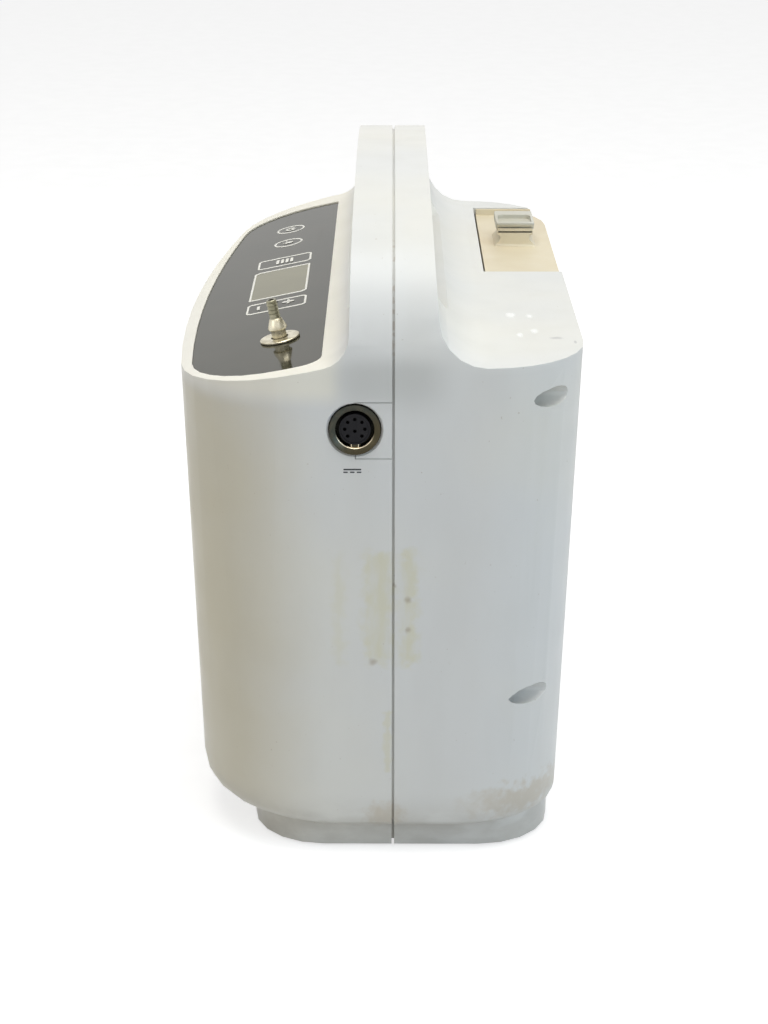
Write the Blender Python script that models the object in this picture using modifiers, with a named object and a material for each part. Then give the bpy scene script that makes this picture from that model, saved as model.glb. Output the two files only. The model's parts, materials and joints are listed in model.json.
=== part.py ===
"""A portable oxygen concentrator with its handle, control panel and lift-out battery.

Metres, +Z up. The origin is on the surface the unit stands on, at the middle of its footprint.
+X is the battery side, -X the control panel side, and -Y the end with the power socket.
"""

import math

import bmesh
import bpy
from mathutils import Matrix, Vector

# Gaps and cutters
FIT = 0.0003
OVERRUN = 0.004

# Housing: two drafted half shells that meet on a lengthwise seam
BODY_WIDTH = 0.1566
BODY_LENGTH = 0.292
HEIGHT = 0.2564
WALL = 0.003
BASE_HEIGHT = 0.0125
FRONT_CORNER_RADIUS_SHARE = 0.31928
FRONT_CORNER_RADIUS = BODY_WIDTH * FRONT_CORNER_RADIUS_SHARE
REAR_CORNER_RADIUS_SHARE = 0.24266
REAR_CORNER_RADIUS = BODY_WIDTH * REAR_CORNER_RADIUS_SHARE
FRONT_FACE_RADIUS_SHARE = 2.3973
FRONT_FACE_RADIUS = BODY_LENGTH * FRONT_FACE_RADIUS_SHARE
FRONT_CREST_Y_SHARE = -0.11986
FRONT_CREST_Y = BODY_LENGTH * FRONT_CREST_Y_SHARE
FRONT_BASE_RADIUS = 0.013
REAR_BASE_RADIUS = 0.0045
END_BASE_RADIUS = 0.0045
FRONT_DRAFT_ANGLE = math.radians(1.4)
REAR_DRAFT_ANGLE = math.radians(1.6)
END_DRAFT_ANGLE = math.radians(2.4)
SEAM_X_SHARE = 0.040868
SEAM_X = BODY_WIDTH * SEAM_X_SHARE
SEAM_GAP = 0.0010
LIP_DEPTH = 0.0016
LIP_REACH = 0.0025

# Shoulders on both sides of the handle
REAR_SHOULDER_HEIGHT_SHARE = 0.79758
REAR_SHOULDER_HEIGHT = HEIGHT * REAR_SHOULDER_HEIGHT_SHARE
REAR_FILLET_RADIUS_SHARE = 0.11494
REAR_FILLET_RADIUS = BODY_WIDTH * REAR_FILLET_RADIUS_SHARE
FRONT_SHOULDER_HEIGHT_SHARE = 0.81162
FRONT_SHOULDER_HEIGHT = HEIGHT * FRONT_SHOULDER_HEIGHT_SHARE
FRONT_SHOULDER_ANGLE = math.atan(0.21)
FRONT_SHOULDER_RISE_ANGLE = math.atan(0.0127)
FRONT_FILLET_RADIUS_SHARE = 0.076628
FRONT_FILLET_RADIUS = BODY_WIDTH * FRONT_FILLET_RADIUS_SHARE

# Handle: an arch that carries on the end walls, with a finger slot under it
HANDLE_FRONT_REACH_SHARE = 0.064496
HANDLE_FRONT_REACH = BODY_WIDTH * HANDLE_FRONT_REACH_SHARE
HANDLE_REAR_REACH_SHARE = 0.15326
HANDLE_REAR_REACH = BODY_WIDTH * HANDLE_REAR_REACH_SHARE
HANDLE_FRONT_LEAN_ANGLE = math.radians(1.3)
HANDLE_REAR_LEAN_ANGLE = math.radians(4.0)
HANDLE_CORNER_RADIUS_SHARE = 0.17551
HANDLE_CORNER_RADIUS = HEIGHT * HANDLE_CORNER_RADIUS_SHARE
CROWN_RADIUS_SHARE = 2.4555
CROWN_RADIUS = BODY_LENGTH * CROWN_RADIUS_SHARE
CROWN_FLAT = 0.008
SLOT_LENGTH_SHARE = 0.63014
SLOT_LENGTH = BODY_LENGTH * SLOT_LENGTH_SHARE
SLOT_FLOOR_HEIGHT_SHARE = 0.82098
SLOT_FLOOR_HEIGHT = HEIGHT * SLOT_FLOOR_HEIGHT_SHARE
SLOT_ROOF_HEIGHT_SHARE = 0.90952
SLOT_ROOF_HEIGHT = HEIGHT * SLOT_ROOF_HEIGHT_SHARE
SLOT_RADIUS_SHARE = 0.039002
SLOT_RADIUS = HEIGHT * SLOT_RADIUS_SHARE

# Plinth and feet
FOOT_PROUD = 0.0010
PLINTH_FRONT_INSET_SHARE = 0.1788
PLINTH_FRONT_INSET = BODY_WIDTH * PLINTH_FRONT_INSET_SHARE
PLINTH_REAR_INSET = 0.0085
PLINTH_END_INSET = 0.0160
PLINTH_RADIUS_SHARE = 0.18519
PLINTH_RADIUS = BODY_WIDTH * PLINTH_RADIUS_SHARE
FOOT_RADIUS = 0.0065
FOOT_THICKNESS = 0.0028
FOOT_MARGIN = 0.0190

# Case screws in deep wells at the rear corners, into posts of the front shell
WELL_LENGTH = 0.0120
WELL_HEIGHT = 0.0076
WELL_END_INSET = 0.0109
WELL_LEAN_ANGLE = math.radians(1.65)
WELL_FLOOR_X_SHARE = 0.29374
WELL_FLOOR_X = BODY_WIDTH * WELL_FLOOR_X_SHARE
WELL_WALL = 0.0022
UPPER_WELL_HEIGHT_SHARE = 0.74415
UPPER_WELL_HEIGHT = HEIGHT * UPPER_WELL_HEIGHT_SHARE
FAR_UPPER_WELL_HEIGHT_SHARE = 0.62402
FAR_UPPER_WELL_HEIGHT = HEIGHT * FAR_UPPER_WELL_HEIGHT_SHARE
LOWER_WELL_HEIGHT_SHARE = 0.26716
LOWER_WELL_HEIGHT = HEIGHT * LOWER_WELL_HEIGHT_SHARE
POST_RADIUS = 0.0033
SCREW_RADIUS = 0.0015
SCREW_HEAD_RADIUS = 0.0030
SCREW_HEAD_HEIGHT = 0.0022
SCREW_RECESS_RADIUS = 0.0012
SCREW_BITE = 0.0100

# Control panel: an overlay in a shallow seat on the front shoulder
PANEL_INNER_X_SHARE = -0.12963
PANEL_INNER_X = BODY_WIDTH * PANEL_INNER_X_SHARE
PANEL_FRONT_MARGIN = 0.0050
PANEL_NEAR_MARGIN = 0.0100
PANEL_FAR_MARGIN = 0.0170
PANEL_RADIUS_SHARE = 0.22989
PANEL_RADIUS = BODY_WIDTH * PANEL_RADIUS_SHARE
PANEL_FACE_RADIUS_SHARE = 3.0822
PANEL_FACE_RADIUS = BODY_LENGTH * PANEL_FACE_RADIUS_SHARE
PANEL_INNER_RADIUS = 0.0080
PANEL_SEAT_DEPTH = 0.0015
OVERLAY_THICKNESS = 0.0007
KEY_CENTRE_X_SHARE = -0.2682
KEY_CENTRE_X = BODY_WIDTH * KEY_CENTRE_X_SHARE
ROUND_KEY_RADIUS = 0.0061
POWER_KEY_Y_SHARE = 0.31507
POWER_KEY_Y = BODY_LENGTH * POWER_KEY_Y_SHARE
ALARM_KEY_Y_SHARE = 0.22603
ALARM_KEY_Y = BODY_LENGTH * ALARM_KEY_Y_SHARE
MODE_KEY_Y_SHARE = 0.11027
MODE_KEY_Y = BODY_LENGTH * MODE_KEY_Y_SHARE
MODE_KEY_WIDTH_SHARE = 0.14687
MODE_KEY_WIDTH = BODY_WIDTH * MODE_KEY_WIDTH_SHARE
MODE_KEY_LENGTH = 0.0143
FLOW_KEY_Y_SHARE = -0.13767
FLOW_KEY_Y = BODY_LENGTH * FLOW_KEY_Y_SHARE
FLOW_KEY_LENGTH = 0.0143
FLOW_KEY_WIDTH_SHARE = 0.07152
FLOW_KEY_WIDTH = BODY_WIDTH * FLOW_KEY_WIDTH_SHARE
KEY_CORNER_RADIUS = 0.0024
KEY_HEIGHT = 0.0033
KEY_TRAVEL = 0.0005
SWITCH_RADIUS = 0.0022
SWITCH_HEIGHT = 0.0010

# Display window and what lies under the panel
WINDOW_Y_SHARE = -0.012329
WINDOW_Y = BODY_LENGTH * WINDOW_Y_SHARE
WINDOW_LENGTH_SHARE = 0.15342
WINDOW_LENGTH = BODY_LENGTH * WINDOW_LENGTH_SHARE
WINDOW_WIDTH_SHARE = 0.14815
WINDOW_WIDTH = BODY_WIDTH * WINDOW_WIDTH_SHARE
WINDOW_CHAMFER = 0.0022
WINDOW_LEDGE = 0.0015
BOARD_THICKNESS = 0.0016
DISPLAY_BOARD_MARGIN = 0.0050
DISPLAY_POST_RADIUS = 0.0024
SPEAKER_RADIUS = 0.0090
SPEAKER_HEIGHT = 0.0045

# Oxygen outlet: a barbed nozzle with a washer outside and a nut inside
BARB_X_SHARE = -0.23883
BARB_X = BODY_WIDTH * BARB_X_SHARE
BARB_Y_SHARE = -0.31678
BARB_Y = BODY_LENGTH * BARB_Y_SHARE
BARB_NECK_RADIUS = 0.0031
BARB_NECK_HEIGHT = 0.0042
BARB_CONE_RADIUS = 0.0039
BARB_CONE_HEIGHT = 0.0036
BARB_STEM_RADIUS = 0.0021
BARB_STEM_HEIGHT = 0.0090
BARB_RIB_RISE = 0.00025
BARB_RIBS = 3
BARB_BORE_RADIUS = 0.0012
BARB_SHANK_LENGTH = 0.0110
WASHER_RADIUS = 0.0078
WASHER_THICKNESS = 0.0013
NUT_RADIUS = 0.0062
NUT_THICKNESS = 0.0030
TUBE_RADIUS = 0.0032

# Power socket on the near end
SOCKET_X_SHARE = -0.049808
SOCKET_X = BODY_WIDTH * SOCKET_X_SHARE
SOCKET_HEIGHT_SHARE = 0.70554
SOCKET_HEIGHT = HEIGHT * SOCKET_HEIGHT_SHARE
SOCKET_RADIUS = 0.0095
SOCKET_MOUTH_RADIUS = 0.0070
SOCKET_SEAT_RADIUS = 0.0106
SOCKET_SEAT_DEPTH = 0.0009
SOCKET_BEVEL_DEPTH = 0.0007
SOCKET_BARREL_RADIUS = 0.0057
SOCKET_CUP_RADIUS = 0.0076
SOCKET_CUP_DEPTH = 0.0055
SOCKET_CORE_RADIUS = 0.0049
SOCKET_BARREL_LENGTH = 0.0170
CORE_RECESS = 0.0028
CORE_LENGTH = 0.0095
CONTACT_RADIUS = 0.0007
CONTACT_DEPTH = 0.0035
CONTACT_CIRCLE_RADIUS = 0.0033
CONTACT_COUNT = 7
SOCKET_KEY_WIDTH = 0.0030
SOCKET_KEY_HEIGHT = 0.0011
INSERT_HEIGHT = 0.0222
INSERT_DROP = 0.0004
INSERT_THICKNESS = 0.0012

# Battery bay in the rear shell
DECK_FRONT_X_SHARE = 0.28672
DECK_FRONT_X = BODY_WIDTH * DECK_FRONT_X_SHARE
DECK_NEAR_Y_SHARE = 0.0034247
DECK_NEAR_Y = BODY_LENGTH * DECK_NEAR_Y_SHARE
DECK_FAR_Y_SHARE = 0.44178
DECK_FAR_Y = BODY_LENGTH * DECK_FAR_Y_SHARE
DECK_DROP = 0.0032
DECK_LIP_HEIGHT = 0.0110
DECK_SIDE_GAP = 0.0013
DECK_FAR_LIP = 0.0014
BATTERY_SETBACK = 0.0078
BAY_WALL = 0.0015
BAY_FLOOR_HEIGHT = 0.0330
BATTERY_SLACK = 0.0005
CONNECTOR_HEIGHT = 0.0050
CONNECTOR_LENGTH_SHARE = 0.13699
CONNECTOR_LENGTH = BODY_LENGTH * CONNECTOR_LENGTH_SHARE
CONNECTOR_WIDTH = 0.0110
CONTACT_BLADES = 4
BLADE_THICKNESS = 0.0012
BLADE_HEIGHT = 0.0060
BLADE_WIDTH = 0.0060

# Battery grip: a waisted post with a sliding latch cap
GRIP_FRONT_X_SHARE = 0.34227
GRIP_FRONT_X = BODY_WIDTH * GRIP_FRONT_X_SHARE
GRIP_NEAR_Y_SHARE = 0.21233
GRIP_NEAR_Y = BODY_LENGTH * GRIP_NEAR_Y_SHARE
GRIP_WIDTH_SHARE = 0.10217
GRIP_WIDTH = BODY_WIDTH * GRIP_WIDTH_SHARE
GRIP_LENGTH = 0.0240
GRIP_HEIGHT = 0.0070
GRIP_WAIST = 0.0014
GRIP_FLARE = 0.0014
GRIP_WAIST_SHARES = (0.45, 0.65)
LATCH_HEIGHT = 0.0038
LATCH_OVERHANG = 0.0012
LATCH_LIP = 0.0024
LATCH_SCOOP_RADIUS = 0.0030
LATCH_SCOOP_DEPTH = 0.0020
LATCH_BACK = 0.0080
LATCH_TRAVEL = 0.0030
LATCH_TONGUE_WIDTH = 0.0050
LATCH_TONGUE_DEPTH = 0.0030
SPRING_RADIUS = 0.0012

# Air inlet in the front wall
INLET_Y_SHARE = -0.2226
INLET_Y = BODY_LENGTH * INLET_Y_SHARE
INLET_HEIGHT_SHARE = 0.31981
INLET_HEIGHT = HEIGHT * INLET_HEIGHT_SHARE
INLET_LENGTH_SHARE = 0.21918
INLET_LENGTH = BODY_LENGTH * INLET_LENGTH_SHARE
INLET_RISE = 0.0420
INLET_RADIUS = 0.0060
INLET_SLOTS = 9
INLET_SLOT_HEIGHT = 0.0022
INLET_FRAME = 0.0055
FILTER_THICKNESS = 0.0045
FILTER_LAP = 0.0030

# Exhaust at the far end: a louvred insert with the cooling fan behind it
FAN_SIZE = 0.0340
FAN_DEPTH = 0.0120
FAN_X_SHARE = 0.15326
FAN_X = BODY_WIDTH * FAN_X_SHARE
FAN_BORE_RADIUS = 0.0158
FAN_HUB_RADIUS = 0.0075
FAN_BLADES = 7
FAN_BLADE_THICKNESS = 0.0012
FAN_BLADE_ANGLE = math.radians(38.0)
FAN_TIP_GAP = 0.0010
FAN_WALL_GAP = 0.0022
FAN_PIN_RADIUS = 0.0012
EXHAUST_SLOTS = 7
EXHAUST_SLOT_HEIGHT = 0.0018
EXHAUST_FRAME = 0.0040
EXHAUST_MARGIN = 0.0025

# Chassis that carries the works
CHASSIS_PLATE = 0.0025
CHASSIS_REAR_X_SHARE = 0.26181
CHASSIS_REAR_X = BODY_WIDTH * CHASSIS_REAR_X_SHARE
BULKHEAD_Y_SHARE = 0.0068493
BULKHEAD_Y = BODY_LENGTH * BULKHEAD_Y_SHARE
BULKHEAD_HEIGHT_SHARE = 0.61622
BULKHEAD_HEIGHT = HEIGHT * BULKHEAD_HEIGHT_SHARE

# Compressor: a motor, a crankcase and two opposed heads on rubber mounts
MOTOR_RADIUS = 0.0260
MOTOR_LENGTH_SHARE = 0.19178
MOTOR_LENGTH = BODY_LENGTH * MOTOR_LENGTH_SHARE
MOTOR_X_SHARE = -0.051086
MOTOR_X = BODY_WIDTH * MOTOR_X_SHARE
MOTOR_HEIGHT = 0.0800
MOTOR_BULKHEAD_GAP = 0.0060
CRANKCASE_WIDTH_SHARE = 0.30651
CRANKCASE_WIDTH = BODY_WIDTH * CRANKCASE_WIDTH_SHARE
CRANKCASE_LENGTH_SHARE = 0.14384
CRANKCASE_LENGTH = BODY_LENGTH * CRANKCASE_LENGTH_SHARE
CYLINDER_RADIUS = 0.0170
CYLINDER_LENGTH_SHARE = 0.076628
CYLINDER_LENGTH = BODY_WIDTH * CYLINDER_LENGTH_SHARE
HEAD_SIZE = 0.0400
HEAD_THICKNESS_SHARE = 0.057471
HEAD_THICKNESS = BODY_WIDTH * HEAD_THICKNESS_SHARE
HEAD_FINS = 5
FIN_GAP = 0.0030
FIN_DEPTH = 0.0040
COMPRESSOR_PLATE = 0.0030
MOUNT_RADIUS = 0.0070
MOUNT_HEIGHT = 0.0110
MOUNT_WAIST = 0.0020
MOUNT_INSET = 0.0100
SHAFT_RADIUS = 0.0030
SHAFT_LENGTH = 0.0060
FLYWHEEL_RADIUS = 0.0170
FLYWHEEL_THICKNESS = 0.0050
FLYWHEEL_WEB = 0.0020
FLYWHEEL_HOLES = 6
FLYWHEEL_HOLE_RADIUS = 0.0028

# Sieve beds, product tank and the valve block on top of them
BED_X_SHARE = -0.24266
BED_X = BODY_WIDTH * BED_X_SHARE
BED_RADIUS_SHARE = 0.1341
BED_RADIUS = BODY_WIDTH * BED_RADIUS_SHARE
BED_HEIGHT_SHARE = 0.54602
BED_HEIGHT = HEIGHT * BED_HEIGHT_SHARE
BED_GAP = 0.0050
BED_BAND_RISE = 0.0008
BED_BAND_HEIGHT = 0.0060
TANK_X_SHARE = 0.0894
TANK_X = BODY_WIDTH * TANK_X_SHARE
TANK_RADIUS_SHARE = 0.12133
TANK_RADIUS = BODY_WIDTH * TANK_RADIUS_SHARE
MANIFOLD_THICKNESS = 0.0100
MANIFOLD_MARGIN = 0.0010
VALVE_RADIUS = 0.0080
VALVE_HEIGHT = 0.0180
VALVE_CAP_HEIGHT = 0.0020
VALVE_PITCH = 0.0200
MAIN_BOARD_LENGTH_SHARE = 0.5364
MAIN_BOARD_LENGTH = BODY_WIDTH * MAIN_BOARD_LENGTH_SHARE
MAIN_BOARD_HEIGHT_SHARE = 0.18721
MAIN_BOARD_HEIGHT = HEIGHT * MAIN_BOARD_HEIGHT_SHARE
CHIP_HEIGHT = 0.0040
CHIP_WIDTH = 0.0160

# Facets
CORNER_STEPS = 7
FACE_STEPS = 5
BOW_STEPS = 8
ARCH_STEPS = 6
CROWN_STEPS = 5
FILLET_STEPS = 5
ROUND_STEPS = 16
FINE_STEPS = 24
COARSE_STEPS = 10
EDGE_ANGLE = math.radians(32)
FLAT_ANGLE = math.radians(0.1)

# Colours from the photograph
WHITE_PLASTIC = (0.80, 0.80, 0.77)
PANEL_GREY = (0.15, 0.15, 0.135)
AGED_PLASTIC = (0.74, 0.66, 0.47)
CAP_PLASTIC = (0.72, 0.71, 0.66)
DISPLAY_GREEN = (0.33, 0.33, 0.26)
BARB_METAL = (0.62, 0.60, 0.50)
RING_METAL = (0.12, 0.12, 0.10)
BLACK_PLASTIC = (0.015, 0.016, 0.016)
GREY_PLASTIC = (0.30, 0.30, 0.31)
CAST_METAL = (0.55, 0.56, 0.57)
BOARD_GREEN = (0.03, 0.16, 0.06)
TUBE_WHITE = (0.75, 0.75, 0.72)

for old in list(bpy.data.objects):
    bpy.data.objects.remove(old)

parts = bpy.data.collections.new("oxygen_concentrator")
cutters = bpy.data.collections.new("cutters")
bpy.context.scene.collection.children.link(parts)
bpy.context.scene.collection.children.link(cutters)


def material(name, colour, roughness, metallic=0.0):
    """One Principled material."""
    made = bpy.data.materials.new(name)
    made.use_nodes = True
    shader = made.node_tree.nodes["Principled BSDF"]
    shader.inputs["Base Color"].default_value = (*colour, 1.0)
    shader.inputs["Roughness"].default_value = roughness
    shader.inputs["Metallic"].default_value = metallic
    return made


def as_object(name, mesh, collection=None):
    """A mesh linked as an object: a cutter unless another collection is given."""
    made = bpy.data.objects.new(name, mesh)
    (collection or cutters).objects.link(made)
    if collection is None:
        made.hide_render = True
        made.display_type = "WIRE"
    return made


def mesh_from(bm, name):
    """Closes a bmesh into a mesh whose faces point outwards."""
    bmesh.ops.recalc_face_normals(bm, faces=bm.faces)
    mesh = bpy.data.meshes.new(name)
    bm.to_mesh(mesh)
    bm.free()
    return mesh


def box(name, low, high, collection=None):
    """A box between two opposite corners."""
    bm = bmesh.new()
    bmesh.ops.create_cube(bm, size=1.0)
    size = [h - l for l, h in zip(low, high)]
    middle = [(h + l) / 2 for l, h in zip(low, high)]
    bmesh.ops.transform(bm, matrix=Matrix.Translation(middle) @ Matrix.Diagonal((*size, 1.0)), verts=bm.verts)
    return as_object(name, mesh_from(bm, name), collection)


def rod(name, radius, start, end, axis="Z", centre=(0, 0), collection=None, steps=ROUND_STEPS, end_radius=None):
    """A cylinder or cone along one axis. The centre gives its other two coordinates in XYZ order."""
    bm = bmesh.new()
    bmesh.ops.create_cone(
        bm,
        cap_ends=True,
        segments=steps,
        radius1=radius,
        radius2=radius if end_radius is None else end_radius,
        depth=end - start,
    )
    turn = {"X": Matrix.Rotation(math.pi / 2, 4, "Y"), "Y": Matrix.Rotation(-math.pi / 2, 4, "X"), "Z": Matrix()}
    middle = list(centre)
    middle.insert("XYZ".index(axis), (start + end) / 2)
    bmesh.ops.transform(bm, matrix=Matrix.Translation(middle) @ turn[axis], verts=bm.verts)
    return as_object(name, mesh_from(bm, name), collection)


def prism(name, outline, axis, low, high, collection=None):
    """A flat outline, in the two other axes in XYZ order, pushed along an axis."""
    bm = bmesh.new()
    at = "XYZ".index(axis)
    corners = []
    for point in outline:
        place = list(point)
        place.insert(at, low)
        corners.append(bm.verts.new(place))
    face = bm.faces.new(corners)
    pushed = bmesh.ops.extrude_face_region(bm, geom=[face])
    shift = [0.0, 0.0, 0.0]
    shift[at] = high - low
    moved = [g for g in pushed["geom"] if isinstance(g, bmesh.types.BMVert)]
    bmesh.ops.translate(bm, verts=moved, vec=shift)
    return as_object(name, mesh_from(bm, name), collection)


def turned(name, profile, collection=None, steps=FINE_STEPS):
    """A profile of (radius, height) points, down its outer side, turned round Z."""
    mesh = bpy.data.meshes.new(name)
    loop = [] if profile[0][0] == 0 else [(len(profile) - 1, 0)]
    edges = [(i, i + 1) for i in range(len(profile) - 1)] + loop
    mesh.from_pydata([(r, 0, z) for r, z in profile], edges, [])
    made = as_object(name, mesh, collection)
    screw = made.modifiers.new("turn", "SCREW")
    screw.steps = steps
    screw.render_steps = steps
    screw.use_merge_vertices = True
    screw.merge_threshold = 0.00001
    if collection is None:
        return made
    plain = baked(made, name, collection)
    bpy.data.objects.remove(made)
    plain.name = name
    return plain


def combine(target, other, operation="DIFFERENCE"):
    """A Boolean modifier on the target."""
    step = target.modifiers.new(other.name, "BOOLEAN")
    step.operation = operation
    step.object = other
    step.solver = "EXACT"
    return target


def merge_flats(mesh):
    """Joins the faces of a finished part that lie in one plane."""
    bm = bmesh.new()
    bm.from_mesh(mesh)
    bmesh.ops.dissolve_limit(bm, angle_limit=FLAT_ANGLE, verts=bm.verts, edges=bm.edges)
    bmesh.ops.triangulate(bm, faces=bm.faces)
    if all(len(edge.link_faces) == 2 for edge in bm.edges):
        bm.to_mesh(mesh)
    bm.free()


def baked(source, name, collection=None):
    """The evaluated shape of an object as a plain mesh object in world space."""
    bpy.context.view_layer.update()
    graph = bpy.context.evaluated_depsgraph_get()
    mesh = bpy.data.meshes.new_from_object(source.evaluated_get(graph))
    mesh.transform(source.matrix_world)
    if collection is not None:
        merge_flats(mesh)
    return as_object(name, mesh, collection)


def dress(thing, finish):
    """Gives a finished part its one material and even shading between its edges."""
    thing.data.materials.clear()
    thing.data.materials.append(finish)
    thing.data.shade_smooth()
    thing.data.set_sharp_from_angle(angle=EDGE_ANGLE)
    return thing


def arc(centre, radius, start, end, steps):
    """Points on an arc from one angle to another."""
    angles = [start + (end - start) * i / steps for i in range(steps + 1)]
    return [(centre[0] + radius * math.cos(a), centre[1] + radius * math.sin(a)) for a in angles]


def rounded_corner(before, corner, after, radius, steps):
    """The arc that rounds a corner between two points, from the first side to the second."""
    spot, one, two = Vector(corner), Vector(before), Vector(after)
    to_one = (one - spot).normalized()
    to_two = (two - spot).normalized()
    half = to_one.angle(to_two) / 2
    centre = spot + (to_one + to_two).normalized() * radius / math.sin(half)
    first = spot + to_one * radius / math.tan(half) - centre
    last = spot + to_two * radius / math.tan(half) - centre
    start = math.atan2(first.y, first.x)
    sweep = first.angle_signed(last)
    return arc(centre, radius, start, start - sweep, steps)


def rounded_box_outline(low, high, radius, steps=FILLET_STEPS):
    """A rectangle with round corners."""
    points = []
    corners = ((high[0], high[1], 0), (low[0], high[1], 1), (low[0], low[1], 2), (high[0], low[1], 3))
    for x, y, quarter in corners:
        centre = (x - radius if x == high[0] else x + radius, y - radius if y == high[1] else y + radius)
        points += arc(centre, radius, quarter * math.pi / 2, (quarter + 1) * math.pi / 2, steps)
    return points


FRONT_RIM_HEIGHT = FRONT_SHOULDER_HEIGHT - (BODY_WIDTH / 2 - HANDLE_FRONT_REACH) * math.tan(FRONT_SHOULDER_ANGLE)
BATTERY_TOP = REAR_SHOULDER_HEIGHT - DECK_DROP


def base_rounding(z, radius, inset):
    """How far a wall draws in near its rounded lower edge."""
    reach = radius - inset
    below = BASE_HEIGHT + radius - z
    if reach <= 0 or below <= 0:
        return 0.0
    return reach - math.sqrt(max(reach ** 2 - min(below, reach) ** 2, 0.0))


def front_wall_x(z, inset):
    """Outermost X of the front wall at a height."""
    drawn_in = (FRONT_RIM_HEIGHT - z) * math.tan(FRONT_DRAFT_ANGLE) + inset
    return -BODY_WIDTH / 2 + drawn_in + base_rounding(z, FRONT_BASE_RADIUS, inset)


def rear_wall_x(z, inset):
    """X of the flat rear wall at a height."""
    drawn_in = (REAR_SHOULDER_HEIGHT - z) * math.tan(REAR_DRAFT_ANGLE) + inset
    return BODY_WIDTH / 2 - drawn_in - base_rounding(z, REAR_BASE_RADIUS, inset)


def end_wall_y(z, inset=0.0):
    """Half length of the body at a height."""
    drawn_in = (REAR_SHOULDER_HEIGHT - z) * math.tan(END_DRAFT_ANGLE) + inset / math.cos(END_DRAFT_ANGLE)
    return BODY_LENGTH / 2 - drawn_in - base_rounding(z, END_BASE_RADIUS, inset)


def end_curve(inset):
    """The side view of one end: (half length, height) from the base, over the handle's corner, to its crown."""
    centre_z = BASE_HEIGHT + FRONT_BASE_RADIUS
    reach = max(FRONT_BASE_RADIUS - inset, FIT)
    heights = [centre_z - reach * math.cos(math.pi / 2 * i / FACE_STEPS) for i in range(FACE_STEPS + 1)]
    points = [(end_wall_y(z, inset), z) for z in heights]
    lean = math.tan(END_DRAFT_ANGLE)
    radius = HANDLE_CORNER_RADIUS
    start = BODY_LENGTH / 2 - REAR_SHOULDER_HEIGHT * lean - radius / math.cos(END_DRAFT_ANGLE)
    crown_z = HEIGHT - CROWN_RADIUS
    a = lean ** 2 + 1
    b = 2 * (lean * start - crown_z)
    c = start ** 2 + crown_z ** 2 - (CROWN_RADIUS - radius) ** 2
    corner_z = (-b + math.sqrt(b ** 2 - 4 * a * c)) / (2 * a)
    corner_y = start + lean * corner_z
    meet = math.atan2(corner_z - crown_z, corner_y)
    points += arc((corner_y, corner_z), radius - inset, -END_DRAFT_ANGLE, meet, ARCH_STEPS)
    crown = CROWN_RADIUS - inset
    last = math.acos(CROWN_FLAT / crown)
    points += arc((0, crown_z), crown, meet, last, CROWN_STEPS)[1:]
    return points


def plan_outline(front_x, rear_x, half_length, front_radius, rear_radius, face_radius):
    """The plan of the housing: round corners and a front that bows most at its crest, nearer one end."""
    front_radius = min(front_radius, half_length / 2)
    rear_radius = min(rear_radius, half_length / 2)
    crest_y = FRONT_CREST_Y * min(1.0, 2 * half_length / BODY_LENGTH)
    bow_x = front_x + face_radius
    corner_y = half_length - front_radius
    far_x = bow_x - math.sqrt((face_radius - front_radius) ** 2 - (corner_y - crest_y) ** 2)
    near_x = bow_x - math.sqrt((face_radius - front_radius) ** 2 - (corner_y + crest_y) ** 2)
    far_turn = math.pi - math.atan2(corner_y - crest_y, bow_x - far_x)
    near_turn = math.pi + math.atan2(corner_y + crest_y, bow_x - near_x)
    side_y = half_length - rear_radius
    points = arc((rear_x - rear_radius, side_y), rear_radius, 0, math.pi / 2, CORNER_STEPS)
    points += arc((far_x, corner_y), front_radius, math.pi / 2, far_turn, CORNER_STEPS)
    points += arc((bow_x, crest_y), face_radius, far_turn, near_turn, BOW_STEPS)[1:-1]
    points += arc((near_x, -corner_y), front_radius, near_turn, 3 * math.pi / 2, CORNER_STEPS)
    points += arc((rear_x - rear_radius, -side_y), rear_radius, 3 * math.pi / 2, 2 * math.pi, CORNER_STEPS)
    return points


def loft(name, rings, collection=None):
    """A closed skin over rings that have the same number of points."""
    bm = bmesh.new()
    rows = [[bm.verts.new(p) for p in ring] for ring in rings]
    count = len(rows[0])
    for lower, upper in zip(rows, rows[1:]):
        for i in range(count):
            j = (i + 1) % count
            bm.faces.new((lower[i], lower[j], upper[j], upper[i]))
    bm.faces.new(rows[0])
    bm.faces.new(rows[-1])
    bmesh.ops.triangulate(bm, faces=bm.faces)
    return as_object(name, mesh_from(bm, name), collection)


def handle_side_x(side, z, inset):
    """X of the handle's front (-1) or rear (1) side at a height."""
    reach = HANDLE_REAR_REACH if side > 0 else HANDLE_FRONT_REACH
    lean = HANDLE_REAR_LEAN_ANGLE if side > 0 else HANDLE_FRONT_LEAN_ANGLE
    return side * (reach - (z - REAR_SHOULDER_HEIGHT) * math.tan(lean) - inset)


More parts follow.
